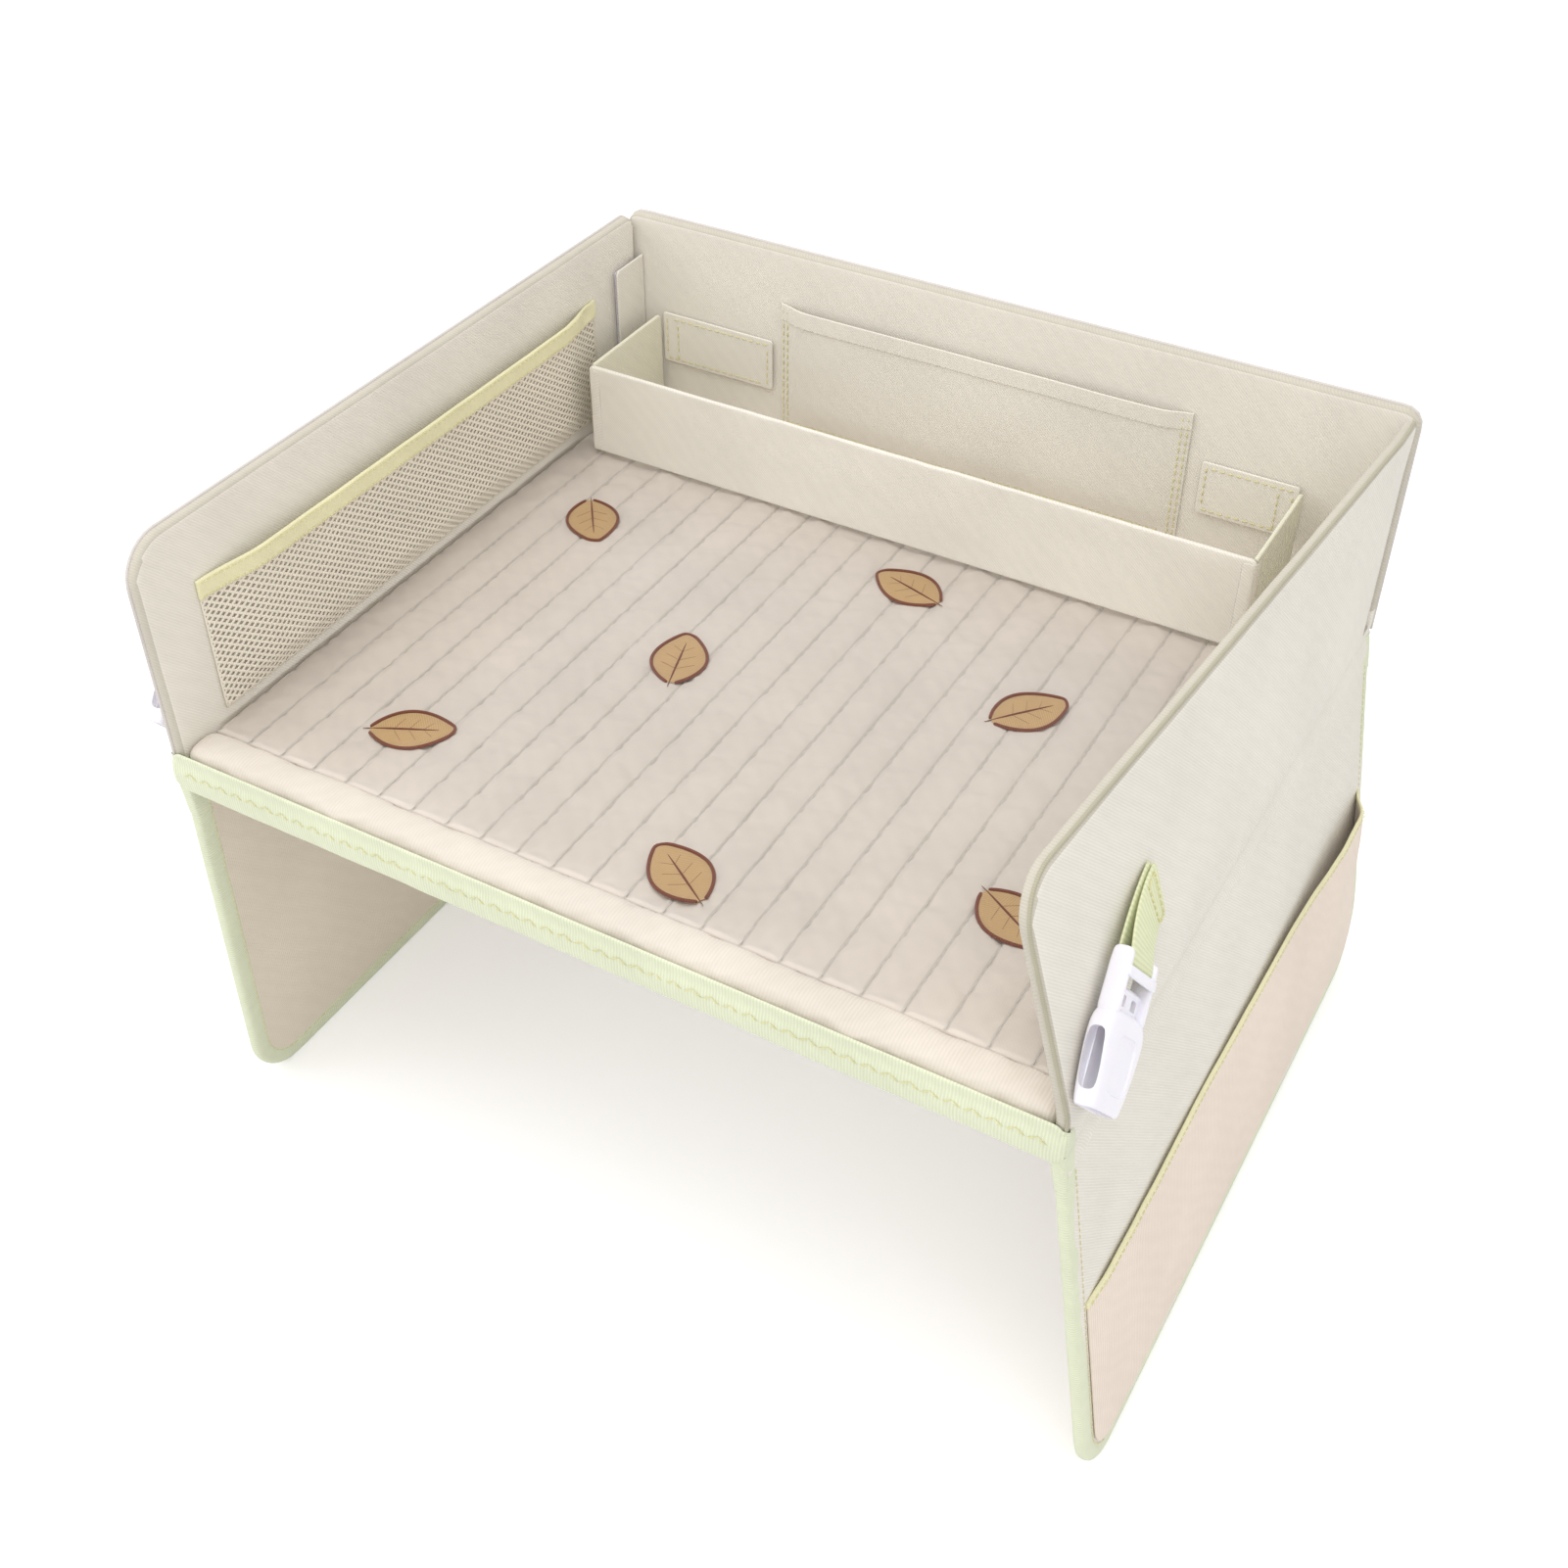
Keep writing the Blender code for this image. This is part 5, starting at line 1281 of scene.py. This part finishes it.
class TRAY_OT_flaps(Operator):
    """Make the two side flaps: panel, edge binding, fold, outer pocket and its binding"""
    bl_idname = "tray_table.flaps"
    bl_label = "Flaps"

    def execute(self, context):
        for side, turn in SIDES.items():
            self.panel(side, turn, context.scene.tray_sizes)
        return {"FINISHED"}

    def panel(self, side, turn, sizes):
        body = side + "_flap"
        surface = flap_surface(side)
        outline = Outline(FLAP_START + FLAP_PANEL_INSET, FLAP_END - FLAP_PANEL_INSET,
                          FLAP_PANEL_FOOT_UP, -FLAP_TOP_DOWN,
                          FLAP_FRONT_CORNER - FLAP_PANEL_INSET, 0.0, FLAP_REAR_CORNER - FLAP_PANEL_INSET, 0.0)

        def shape(along, up, near):
            wave = 0.0004 * ripple(along, up, 0.05, 71.0 + turn) + 0.0001 * ripple(along, up, 0.012, 72.0)
            return wave if near else min(0.0, 0.5 * wave - 0.0002)

        form = Form()
        soft_panel(form, outline, surface, (0.0, FLAP_THICKNESS), step=0.007, edge=0.0022, shape=shape)
        cover = form.piece(body + "_panel", body, ["twill_polyester_cover", "plain_woven_lining"],
                           (body + "_inner_cover", body + "_outer_cover"), "cream_fabric")
        dress_board(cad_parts[body + "_board"])

        form = Form()
        line = []
        for i in range(71):
            y = FLAP_START + (FLAP_END - FLAP_START) * i / 70
            line.append(Vector((turn * FLAP_AXIS_X, y, FLAP_AXIS_Z)))
        form.cord(line, FLAP_THICKNESS / 2, sides=16)
        form.piece(body + "_fold", body, ["twill_polyester_cover"], (body + "_fold_piping",), "cream_fabric",
                   levels=0)

        rim = Outline(FLAP_START, FLAP_END, FLAP_FOOT_UP, -FLAP_TOP_DOWN, FLAP_FRONT_CORNER, 0.0,
                      FLAP_REAR_CORNER, 0.0)
        form = Form()
        edge_binding(form, rim, ("front high", "front low", "rear low", "rear high"), surface,
                     (0.0, FLAP_THICKNESS), FLAP_BINDING_WIDTH)
        binding = form.piece(body + "_edge_binding", body, ["grosgrain_green_binding"], (body + "_binding",),
                             "green_binding")
        form = Form()
        seam = spread(rim.path(("front high", "front low", "rear low", "rear high"), 0.0074), 0.001)
        for depth, lift in ((-0.0002, 0.0003), (FLAP_THICKNESS + 0.00005, 0.0)):
            stitch_run(form, seam, surface, depth, 0.0024, lift=lift, radius=0.00018)
        form.piece(body + "_binding_stitches", body, ["polyester_sewing_thread"], levels=0)
        self.pocket(side, body, surface)
        self.bridge(side, turn, body, surface)
        self.corner_tape(side, turn, body, surface)
        self.rear_tape(turn, body, surface)

    def bridge(self, side, turn, body, surface):
        """Run the outer cloth on from the wall over the fold to the flap, with its soft crease."""
        rows, marks = [], []
        for i in range(71):
            y = FLAP_START + 0.0010 + (SIDE_WALL_REAR_Y - 0.0015 - FLAP_START) * i / 70
            slack = 0.0002 * ripple(y, 0.0, 0.02, 91.0 + turn)
            row = [Vector((turn * (HALF_WIDTH + out), y, z)) for z, out in
                   ((0.1945, -0.0004), (0.1936, 0.0001), (0.1926, 0.0003), (0.1914, 0.0001 + slack))]
            row.append(Vector((turn * (HALF_WIDTH - 0.0008 + slack), y, 0.1893)))
            row += [surface(y, up, -out) for up, out in
                    ((-0.0006, 0.0001), (-0.0024, 0.0003 + slack), (-0.0050, 0.0004 + slack),
                     (-0.0085, 0.0003), (-0.0105, -0.0004))]
            rows.append(row)
            marks.append([(y, 0.1945 - j * 0.0020) for j in range(len(row))])
        form = Form()
        form.grid(rows, marks)
        piece = form.piece(body + "_fold_cloth", None, ["twill_polyester_cover"], slot="cream_fabric",
                           levels=0)
        self.across_fold(piece, turn, body)

    def corner_tape(self, side, turn, body, surface):
        """Carry the green binding from the flap's front edge up over the corner to the front band."""
        for name, top, foot, width in (("_corner_tape_head", 0.2050, 0.1912, 0.0168),
                                       ("_corner_tape", 0.1920, 0.1720, 0.0186)):
            rows, marks = [], []
            for i in range(17):
                z = top + (foot - top) * i / 16
                share, up = (0.2050 - z) / 0.0330, z - FLAP_AXIS_Z
                reach = 0.0008 + 0.0086 * math.sqrt(max(0.0, 1 - (1 - min(1.0, share / 0.6)) ** 2))
                proud = 1 - max(0.0, (share - 0.5) / 0.5)
                front = FRONT_Y + 0.0006 - 0.0013 * proud
                if up < 0:
                    outer = surface(0.0, up, -0.0002 - 0.0004 * proud).x
                    inner = surface(0.0, up, FLAP_THICKNESS + 0.0001 + 0.0003 * proud).x
                else:
                    outer, inner = turn * (HALF_WIDTH + 0.0006), turn * (HALF_WIDTH - 0.0062)
                steps = ((inner, 0.004), (inner, 0.0010), (inner + turn * 0.0006, 0.0001),
                         (inner + turn * 0.0016, 0.0), ((inner + outer) / 2, -0.0001),
                         (outer - turn * 0.0016, 0.0), (outer - turn * 0.0005, 0.0002), (outer, 0.0012),
                         (outer, reach * 0.6), (outer, reach), (outer - turn * 0.0007, reach + 0.0004))
                rows.append([Vector((x, front + y, z)) for x, y in steps])
                marks.append([(z, 0.0022 * j) for j in range(len(steps))])
            form = Form()
            form.grid(rows, marks)
            rides = side + "_wall" if "head" in name else None
            piece = form.piece(body + name, rides, ["grosgrain_green_binding"], slot="green_binding")
            if not rides:
                self.across_fold(piece, turn, body)

    def rear_tape(self, turn, body, surface):
        """Turn the green binding over the flap's rear top corner."""
        rear = FLAP_END + 0.0007
        rows, marks = [], []
        for i in range(13):
            z = 0.1886 - 0.0186 * i / 12
            up, share = z - FLAP_AXIS_Z, i / 12
            reach = 0.0030 + 0.0062 * math.sqrt(1 - (1 - share) ** 2)
            if up < -0.0005:
                outer, inner = surface(0.0, up, -0.0006).x, surface(0.0, up, FLAP_THICKNESS + 0.0002).x
            else:
                outer, inner = turn * (HALF_WIDTH + 0.0005), turn * (HALF_WIDTH - 0.0056)
            drawn = 0.0030 * (1 - math.sqrt(1 - (1 - min(1.0, share / 0.4)) ** 2))
            steps = ((inner, -0.004), (inner, -0.0010), (inner + turn * 0.0010, 0.0),
                     ((inner + outer) / 2, 0.0001), (outer - turn * 0.0012, 0.0),
                     (outer - turn * 0.0002, -0.0006), (outer, -reach * 0.5), (outer, -reach),
                     (outer - turn * 0.0007, -reach - 0.0004))
            rows.append([Vector((x, rear - drawn + y, z)) for x, y in steps])
            marks.append([(z, 0.0022 * j) for j in range(len(steps))])
        crown = [Vector((p.x - turn * 0.0020, p.y, p.z + 0.0006)) for p in rows[0]]
        form = Form()
        form.grid([crown] + rows, [marks[0]] + marks)
        piece = form.piece(body + "_rear_tape", None, ["grosgrain_green_binding"], slot="green_binding")
        self.across_fold(piece, turn, body)

    def across_fold(self, piece, turn, body):
        """Bake the piece's placing into its mesh, which rides on no body."""
        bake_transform(piece)

    def pocket(self, side, body, surface):
        """Sew the pocket on the flap's outer face."""
        start, end = FLAP_START + FLAP_POCKET_INSET, FLAP_END - FLAP_POCKET_INSET
        gap = pocket_gap(start, end, FLAP_TAPER, FLAP_GAPE)
        lowest = FLAP_POCKET_FOOT_UP

        def place(along, up, depth):
            share = clamp((up - lowest) / (-FLAP_MOUTH - lowest))
            loose = gap(along, 1.0) / FLAP_GAPE
            to_rear = clamp((along - start - 0.14) / 0.15)
            open_wide = (0.16 + 0.84 * to_rear * to_rear) * min(1.0, 0.15 + share)
            wave = (0.0012 * ripple(along, up, 0.07, 81.0 + SIDES[side])
                    + 0.0004 * ripple(along, up, 0.018, 82.0)) * loose * min(1.0, share * 2)
            return surface(along, up, -(0.0003 + gap(along, share) * open_wide + wave + depth))

        form = Form()
        outline = Outline(start, end, lowest, -FLAP_MOUTH, 0.0152, 0.0, 0.0272, 0.0)
        soft_panel(form, outline, place, (0.0, 0.0009), step=0.006, edge=0.00045)
        pocket = form.piece(body + "_pocket_cloth", body, ["ribbed_pocket_cloth"] * 2, (body + "_pocket",),
                            "pocket_fabric")
        form = Form()
        mouth = Outline(start, end, -FLAP_MOUTH + 0.0002, -FLAP_MOUTH + 0.0036)
        soft_panel(form, mouth, lambda a, u, d: place(a, u, d - 0.0003), (0.0, 0.0014), step=0.004,
                   edge=0.0006)
        binding = form.piece(body + "_mouth_binding", body, ["flat_yellow_binding"] * 2,
                             (body + "_pocket_binding",), "yellow_binding")
        form = Form()
        stitch_run(form, [(start + 0.002, -FLAP_MOUTH + 0.0014), (end - 0.002, -FLAP_MOUTH + 0.0014)],
                   lambda a, u, d: place(a, u, 0.0011 - d), 0.0, 0.0024, radius=0.0002)
        form.piece(body + "_mouth_stitches", body, ["polyester_sewing_thread"], levels=0)


def strap_frame(side):
    """Return the frame at the buckle's bar: X to the socket's mouth, Y across, Z off the wall."""
    surface = side_wall_surface(side)
    along, rise = FRONT_Y + BUCKLE_ALONG, WALL_TRAY_UP + BUCKLE_RISE
    spot = surface(along, rise, 0.0)
    up = (surface(along, WALL_HEIGHT, 0.0) - spot).normalized()
    back = (surface(0.0, rise, 0.0) - spot).normalized()
    out = SIDES[side] * back.cross(up).normalized()
    ahead = (-back * math.cos(BUCKLE_DROOP) - up * math.sin(BUCKLE_DROOP)).normalized()
    across = out.cross(ahead)
    spot += out * (BUCKLE_THICKNESS / 2 + BUCKLE_WALL_GAP)
    return Matrix.Translation(spot) @ Matrix((ahead, across, out)).transposed().to_4x4()


class TRAY_OT_straps(Operator):
    """Make the webbing loops and the buckle sockets on the side walls"""
    bl_idname = "tray_table.straps"
    bl_label = "Webbing and Buckles"

    def execute(self, context):
        for side in SIDES:
            at = strap_frame(side)
            self.webbing(side, at)
            self.buckle(side, at)
        return {"FINISHED"}

    def webbing(self, side, at):
        """Fold the ribbed webbing round the buckle's bar and sew its ends together."""
        wall_level = -BUCKLE_THICKNESS / 2 - BUCKLE_WALL_GAP
        seam = Vector((-WEBBING_LENGTH, 0, wall_level + 0.0026))
        length = seam.length
        slope = Matrix.Rotation(math.atan2(seam.z, -seam.x), 4, "Y")
        half, thick, wrap = WEBBING_HALF_WIDTH, WEBBING_THICKNESS, 0.0019 + 0.0007
        lead = math.asin(wrap / length) * 0.7
        line = [(-length, -0.0008), (-length * 0.75, -0.0009), (-length * 0.5, -0.0012),
                (-length * 0.25, -0.0018)]
        angles = [(math.pi / 2 + lead) * (2 * i / 12 - 1) for i in range(13)]
        line += [(wrap * math.cos(a), wrap * math.sin(a)) for a in angles]
        line += [(-length * 0.25, 0.0018), (-length * 0.5, 0.0012), (-length * 0.75, 0.0009),
                 (-length, 0.0008)]
        line = spread(line, 0.0022)
        section = ((-1.0, 0.0), (-0.985, 0.62), (-0.93, 1.0), (-0.5, 1.0), (0.0, 1.0), (0.5, 1.0),
                   (0.93, 1.0),
                   (0.985, 0.62), (1.0, 0.0), (0.985, -0.62), (0.93, -1.0), (0.5, -1.0), (0.0, -1.0),
                   (-0.5, -1.0), (-0.93, -1.0), (-0.985, -0.62))
        drop = WEBBING_TURN * SIDES[side]

        def bend(x, y, z):
            """Turn the tape level towards its sewn end, its outer layer more, while its loop hangs."""
            if x >= 0:
                return Vector((x, y, z))
            turned = drop * (1.12 if z > 0 else 1.0)
            angle, radius = turned * -x / length, length / turned
            return Vector((-radius * math.sin(angle) + y * math.sin(angle),
                           radius * (1 - math.cos(angle)) + y * math.cos(angle), z))

        rings, spots = [], []
        for i, spot in enumerate(line):
            ahead = (line[min(i + 1, len(line) - 1)] - line[max(i - 1, 0)]).normalized()
            rings.append([bend(spot.x - ahead.y * level * thick / 2, across * half,
                               spot.y + ahead.x * level * thick / 2) for across, level in section])
            spots.append([(i * 0.0022, 0.045 * j / len(section)) for j in range(len(section) + 1)])
        form = Form()
        form.sweep(rings, spots)
        matrix = at @ slope
        form.piece(side + "_ribbed_webbing", side + "_webbing_loop", ["ribbed_webbing"], (side + "_webbing",),
                   "green_binding", matrix=matrix)
        form = Form()
        for x in (-length + 0.004, -length + 0.010):
            stitch_run(form, [(x, -0.0098), (x, 0.0098)], lambda u, v, d: bend(u, v, 0.0017 - d), 0.0, 0.0022)
        for y in (-0.0095, 0.0095):
            stitch_run(form, [(-length + 0.004, y), (-length + 0.010, y)],
                       lambda u, v, d: bend(u, v, 0.0017 - d), 0.0, 0.0022)
        form.piece(side + "_webbing_stitches", side + "_webbing_loop", ["polyester_sewing_thread"], levels=0,
                   matrix=matrix)

    def buckle(self, side, at):
        """Mould the socket half: a ladder for the webbing, a waisted body, its mouth and its windows."""
        form = Form()
        # Half widths and half thicknesses along the body, from the ladder to the mouth
        stations = ((0.0165, 0.0118, 0.0028), (0.0172, 0.0140, 0.0038), (0.0190, 0.0158, 0.0047),
                    (0.0220, 0.0170, 0.0052), (0.0260, 0.0174, 0.00525), (0.0310, 0.0171, 0.00525),
                    (0.0360, 0.0162, 0.00525), (0.0420, 0.0147, 0.00525), (0.0470, 0.0132, 0.0052),
                    (0.0500, 0.0122, 0.0049), (0.0510, 0.0116, 0.0044))
        inner = ((0.0510, 0.0106, 0.0034), (0.0500, 0.0110, 0.0031), (0.0400, 0.0118, 0.0031),
                 (0.0280, 0.0122, 0.0031), (0.0205, 0.0122, 0.0031))
        rings, spots, steps = [], [], 32
        for number, (x, wide, thick) in enumerate(stations + inner):
            ring = []
            for i in range(steps):
                c, s = squared(2 * math.pi * (i + 0.5) / steps, 0.42)
                ring.append(Vector((x, wide * c, thick * s)))
            rings.append(ring)
            spots.append([(x + number * 0.001, 0.08 * i / steps) for i in range(steps + 1)])
        form.sweep(rings, spots)
        body = form.piece(side + "_buckle_body", side + "_buckle", ["moulded_acetal"],
                          (side + "_buckle_socket",), "white_plastic", levels=1, matrix=at)
        cut = Form()
        for turn in (-1, 1):
            rows, marks = [], []
            for y in (0.0100, 0.0120, 0.0190):
                ring = []
                for i in range(16):
                    c, s = squared(2 * math.pi * i / 16, 0.5)
                    ring.append(Vector((RECESS_X + 0.0112 * c, turn * y, 0.0036 * s)))
                rows.append(ring)
                marks.append([(y, i * 0.001) for i in range(17)])
            cut.sweep(rows, marks)
        self.cut_with(body, cut, side + "_side_windows", at)
        face = Form()
        rows, marks = [], []
        for z, size in ((0.0040, 0.93), (0.0047, 0.97), (0.0070, 1.08)):
            ring = []
            for i in range(24):
                c, s = squared(2 * math.pi * i / 24, 0.45)
                ring.append(Vector((RECESS_X + 0.0105 * size * c, 0.0095 * size * s, z)))
            rows.append(ring)
            marks.append([(z, i * 0.001) for i in range(25)])
        face.sweep(rows, marks)
        self.cut_with(body, face, side + "_face_recess", at)
        rounding = body.modifiers.new("moulded edges", "BEVEL")
        rounding.width, rounding.segments, rounding.limit_method = 0.0003, 2, "ANGLE"
        rounding.angle_limit = math.radians(40)
        self.ladder(side, at)

    def cut_with(self, body, form, name, at):
        """Cut a space out of the body with a tool that is then taken away."""
        tool = form.piece(name, None, ["moulded_acetal"], levels=1, matrix=at)
        step = body.modifiers.new(name, "BOOLEAN")
        step.operation, step.solver, step.object = "DIFFERENCE", "EXACT", tool
        bpy.context.view_layer.update()
        shape = body.evaluated_get(bpy.context.evaluated_depsgraph_get())
        data = bpy.data.meshes.new_from_object(shape)
        body.modifiers.clear()
        old = body.data
        body.data = data
        bpy.data.meshes.remove(old)
        bpy.data.objects.remove(tool, do_unlink=True)
        body.data.shade_smooth()
        body.data.set_sharp_from_angle(angle=math.radians(38))

    def ladder(self, side, at):
        """Mould the ladder: two arms and the two bars that the webbing passes."""
        form = Form()
        for turn in (-1, 1):
            y = turn * 0.01265
            rows, spots = [], []
            for x, wide, thick in ((-0.0044, 0.0008, 0.0016), (-0.0039, 0.0014, 0.0034),
                                   (-0.0020, 0.0016, 0.0040), (0.0060, 0.0016, 0.0040),
                                   (0.0140, 0.0018, 0.0040), (0.0200, 0.0024, 0.0042)):
                ring = []
                for i in range(12):
                    c, s = squared(2 * math.pi * (i + 0.5) / 12, 0.5)
                    ring.append(Vector((x, y + wide * c, thick * s)))
                rows.append(ring)
                spots.append([(x, i * 0.001) for i in range(13)])
            form.sweep(rows, spots)
        for x in (0.0, 0.0095):
            form.cord([(x, -0.0128, 0), (x, -0.006, 0), (x, 0.0, 0), (x, 0.006, 0), (x, 0.0128, 0)], 0.0016,
                      sides=12)
        self.slab(form, (0.0016, 0.0056), (-0.0136, 0.0136), (0.0030, 0.0046))
        form.piece(side + "_buckle_ladder", side + "_buckle", ["moulded_acetal"], levels=1, matrix=at)
        plate, holes = Form(), Form()
        self.slab(plate, (0.0080, 0.0190), (-0.0130, 0.0130), (-0.0012, 0.0014))
        for y in (-0.0052, 0.0052):
            self.slab(holes, (0.0108, 0.0150), (y - 0.0024, y + 0.0024), (-0.0040, 0.0040))
        web = plate.piece(side + "_buckle_web", side + "_buckle", ["moulded_acetal"], levels=1, matrix=at)
        self.cut_with(web, holes, side + "_web_holes", at)

    def slab(self, form, across, along, through):
        """Add a block with rounded sides between two x, two y and two z values."""
        (x0, x1), (y0, y1), (z0, z1) = across, along, through
        radius = min(x1 - x0, z1 - z0) * 0.35
        rows, spots = [], []
        for y, inset in ((y0, 0.4), (y0 + 0.0003, 0.0), (y1 - 0.0003, 0.0), (y1, 0.4)):
            ring = []
            for cx, cz, turn in ((x1, z1, 0), (x0, z1, 1), (x0, z0, 2), (x1, z0, 3)):
                for i in range(3):
                    angle = math.pi / 2 * (turn + i / 2)
                    mid_x = cx + (radius if cx == x0 else -radius)
                    mid_z = cz + (radius if cz == z0 else -radius)
                    reach = radius * (1 - inset)
                    ring.append(Vector((mid_x + reach * math.cos(angle), y, mid_z + reach * math.sin(angle))))
            rows.append(ring)
            spots.append([(y, 0.001 * i) for i in range(13)])
        form.sweep(rows, spots)


def seen_by_eye(tree):
    """Return a factor of 1 for the rays that reach the eye directly, in a mirror or through the film."""
    rays = add(tree, "LightPath")
    seen = rays.outputs["Is Camera Ray"]
    for kind in ("Is Glossy Ray", "Is Transmission Ray"):
        seen = add(tree, "Math", {0: seen, 1: rays.outputs[kind]}, operation="MAXIMUM").outputs[0]
    return seen


class TRAY_OT_stage(Operator):
    """Make the camera, the floor, the soft lamps and the world"""
    bl_idname = "tray_table.stage"
    bl_label = "Stage"

    def execute(self, context):
        scene = context.scene
        scene.view_settings.view_transform = "Standard"
        self.camera(scene)
        self.floor(scene)
        self.lamps(scene)
        return {"FINISHED"}

    def camera(self, scene):
        """Stand the camera where the photograph was taken from."""
        azimuth, elevation, roll = (math.radians(v) for v in (CAMERA_AZIMUTH, CAMERA_ELEVATION, CAMERA_ROLL))
        back = Vector((math.sin(azimuth) * math.cos(elevation), -math.cos(azimuth) * math.cos(elevation),
                       math.sin(elevation)))
        right = Vector((math.cos(azimuth), math.sin(azimuth), 0))
        up = back.cross(right)
        right, up = right * math.cos(roll) + up * math.sin(roll), up * math.cos(roll) - right * math.sin(roll)
        data = bpy.data.cameras.new("camera")
        data.sensor_width = SENSOR_WIDTH
        data.lens = PHOTO_FOCAL_PIXELS * SENSOR_WIDTH / PHOTO_WIDTH_PIXELS
        data.clip_start = 0.05
        camera = bpy.data.objects.new("camera", data)
        camera.matrix_world = (Matrix.Translation(Vector(CAMERA_PLACE) + ORIGIN)
                               @ Matrix((right, up, back)).transposed().to_4x4())
        scene.collection.objects.link(camera)
        scene.camera = camera

    def floor(self, scene):
        """Lay a plain pale floor that the eye sees as white and that keeps the table's shadow."""
        mesh = bpy.data.meshes.new("floor")
        mesh.from_pydata([(-6, -6, 0), (6, -6, 0), (6, 6, 0), (-6, 6, 0)], [], [(0, 1, 2, 3)])
        floor = bpy.data.objects.new("floor", mesh)
        scene.collection.objects.link(floor)
        material, tree = new_material("pale_painted_floor")
        seen = seen_by_eye(tree)
        paint = add(tree, "BsdfDiffuse", {"Color": (0.86, 0.86, 0.86, 1)})
        glow = add(tree, "Emission", {"Color": (1, 1, 1, 1), "Strength": 0.27})
        lit = add(tree, "AddShader", {0: paint.outputs[0], 1: glow.outputs[0]})
        mix = add(tree, "MixShader", {0: seen, 1: paint.outputs[0], 2: lit.outputs[0]})
        add(tree, "OutputMaterial", {"Surface": mix.outputs[0]})
        mesh.materials.append(material)

    def lamps(self, scene):
        """Light the table softly from above, with a broad key on the right and a fill on the left."""
        for name, place, size, power in (("key_lamp", (0.8, -1.2, 1.6), 1.3, 6.0),
                                         ("fill_lamp", (-1.3, -0.9, 1.2), 1.4, 6.0),
                                         ("top_lamp", (-0.2, -0.3, 2.2), 1.4, 13.0)):
            data = bpy.data.lights.new(name, "AREA")
            data.shape, data.size, data.energy = "DISK", size, power
            lamp = bpy.data.objects.new(name, data)
            lamp.location = place
            lamp.rotation_euler = (Vector(place) - Vector((0, 0, 0.2))).to_track_quat("Z", "Y").to_euler()
            scene.collection.objects.link(lamp)
        world = bpy.data.worlds.new("studio_white")
        world.use_nodes = True
        tree = world.node_tree
        tree.nodes.clear()
        seen = seen_by_eye(tree)
        dim = add(tree, "Background", {"Color": (1.0, 0.995, 0.99, 1), "Strength": 0.84})
        white = add(tree, "Background", {"Color": (1, 1, 1, 1), "Strength": 1.0})
        mix = add(tree, "MixShader", {0: seen, 1: dim.outputs[0], 2: white.outputs[0]})
        add(tree, "OutputWorld", {"Surface": mix.outputs[0]})
        scene.world = world


class TRAY_OT_finishes(Operator):
    """Make the cloths, tapes, film and plastic from the chosen colours and sizes"""
    bl_idname = "tray_table.finishes"
    bl_label = "Finishes"

    def execute(self, context):
        make_finishes()
        return {"FINISHED"}


STEPS = (TRAY_OT_stage, TRAY_OT_finishes, TRAY_OT_quilted_top, TRAY_OT_front_roll, TRAY_OT_side_walls,
         TRAY_OT_mesh_pocket, TRAY_OT_back_wall, TRAY_OT_storage_box, TRAY_OT_flaps, TRAY_OT_straps)


class TRAY_PT_panel(Panel):
    bl_label = "Tray Table"
    bl_idname = "TRAY_PT_panel"
    bl_space_type = "VIEW_3D"
    bl_region_type = "UI"
    bl_category = "Tray Table"

    def draw(self, context):
        for step in STEPS:
            self.layout.operator(step.bl_idname)
        for group in (context.scene.tray_colours, context.scene.tray_sizes):
            box = self.layout.box()
            for key in group.bl_rna.properties.keys():
                if key not in ("rna_type", "name"):
                    box.prop(group, key)


CLASSES = (TrayColours, TraySizes, *STEPS, TRAY_PT_panel)


def register():
    for entry in CLASSES:
        bpy.utils.register_class(entry)
    bpy.types.Scene.tray_colours = PointerProperty(type=TrayColours)
    bpy.types.Scene.tray_sizes = PointerProperty(type=TraySizes)


def unregister():
    del bpy.types.Scene.tray_sizes
    del bpy.types.Scene.tray_colours
    for entry in reversed(CLASSES):
        bpy.utils.unregister_class(entry)


def main():
    """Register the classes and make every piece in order."""
    register()
    for step in STEPS:
        group, action = step.bl_idname.split(".")
        getattr(getattr(bpy.ops, group), action)()


if __name__ == "__main__":
    main()
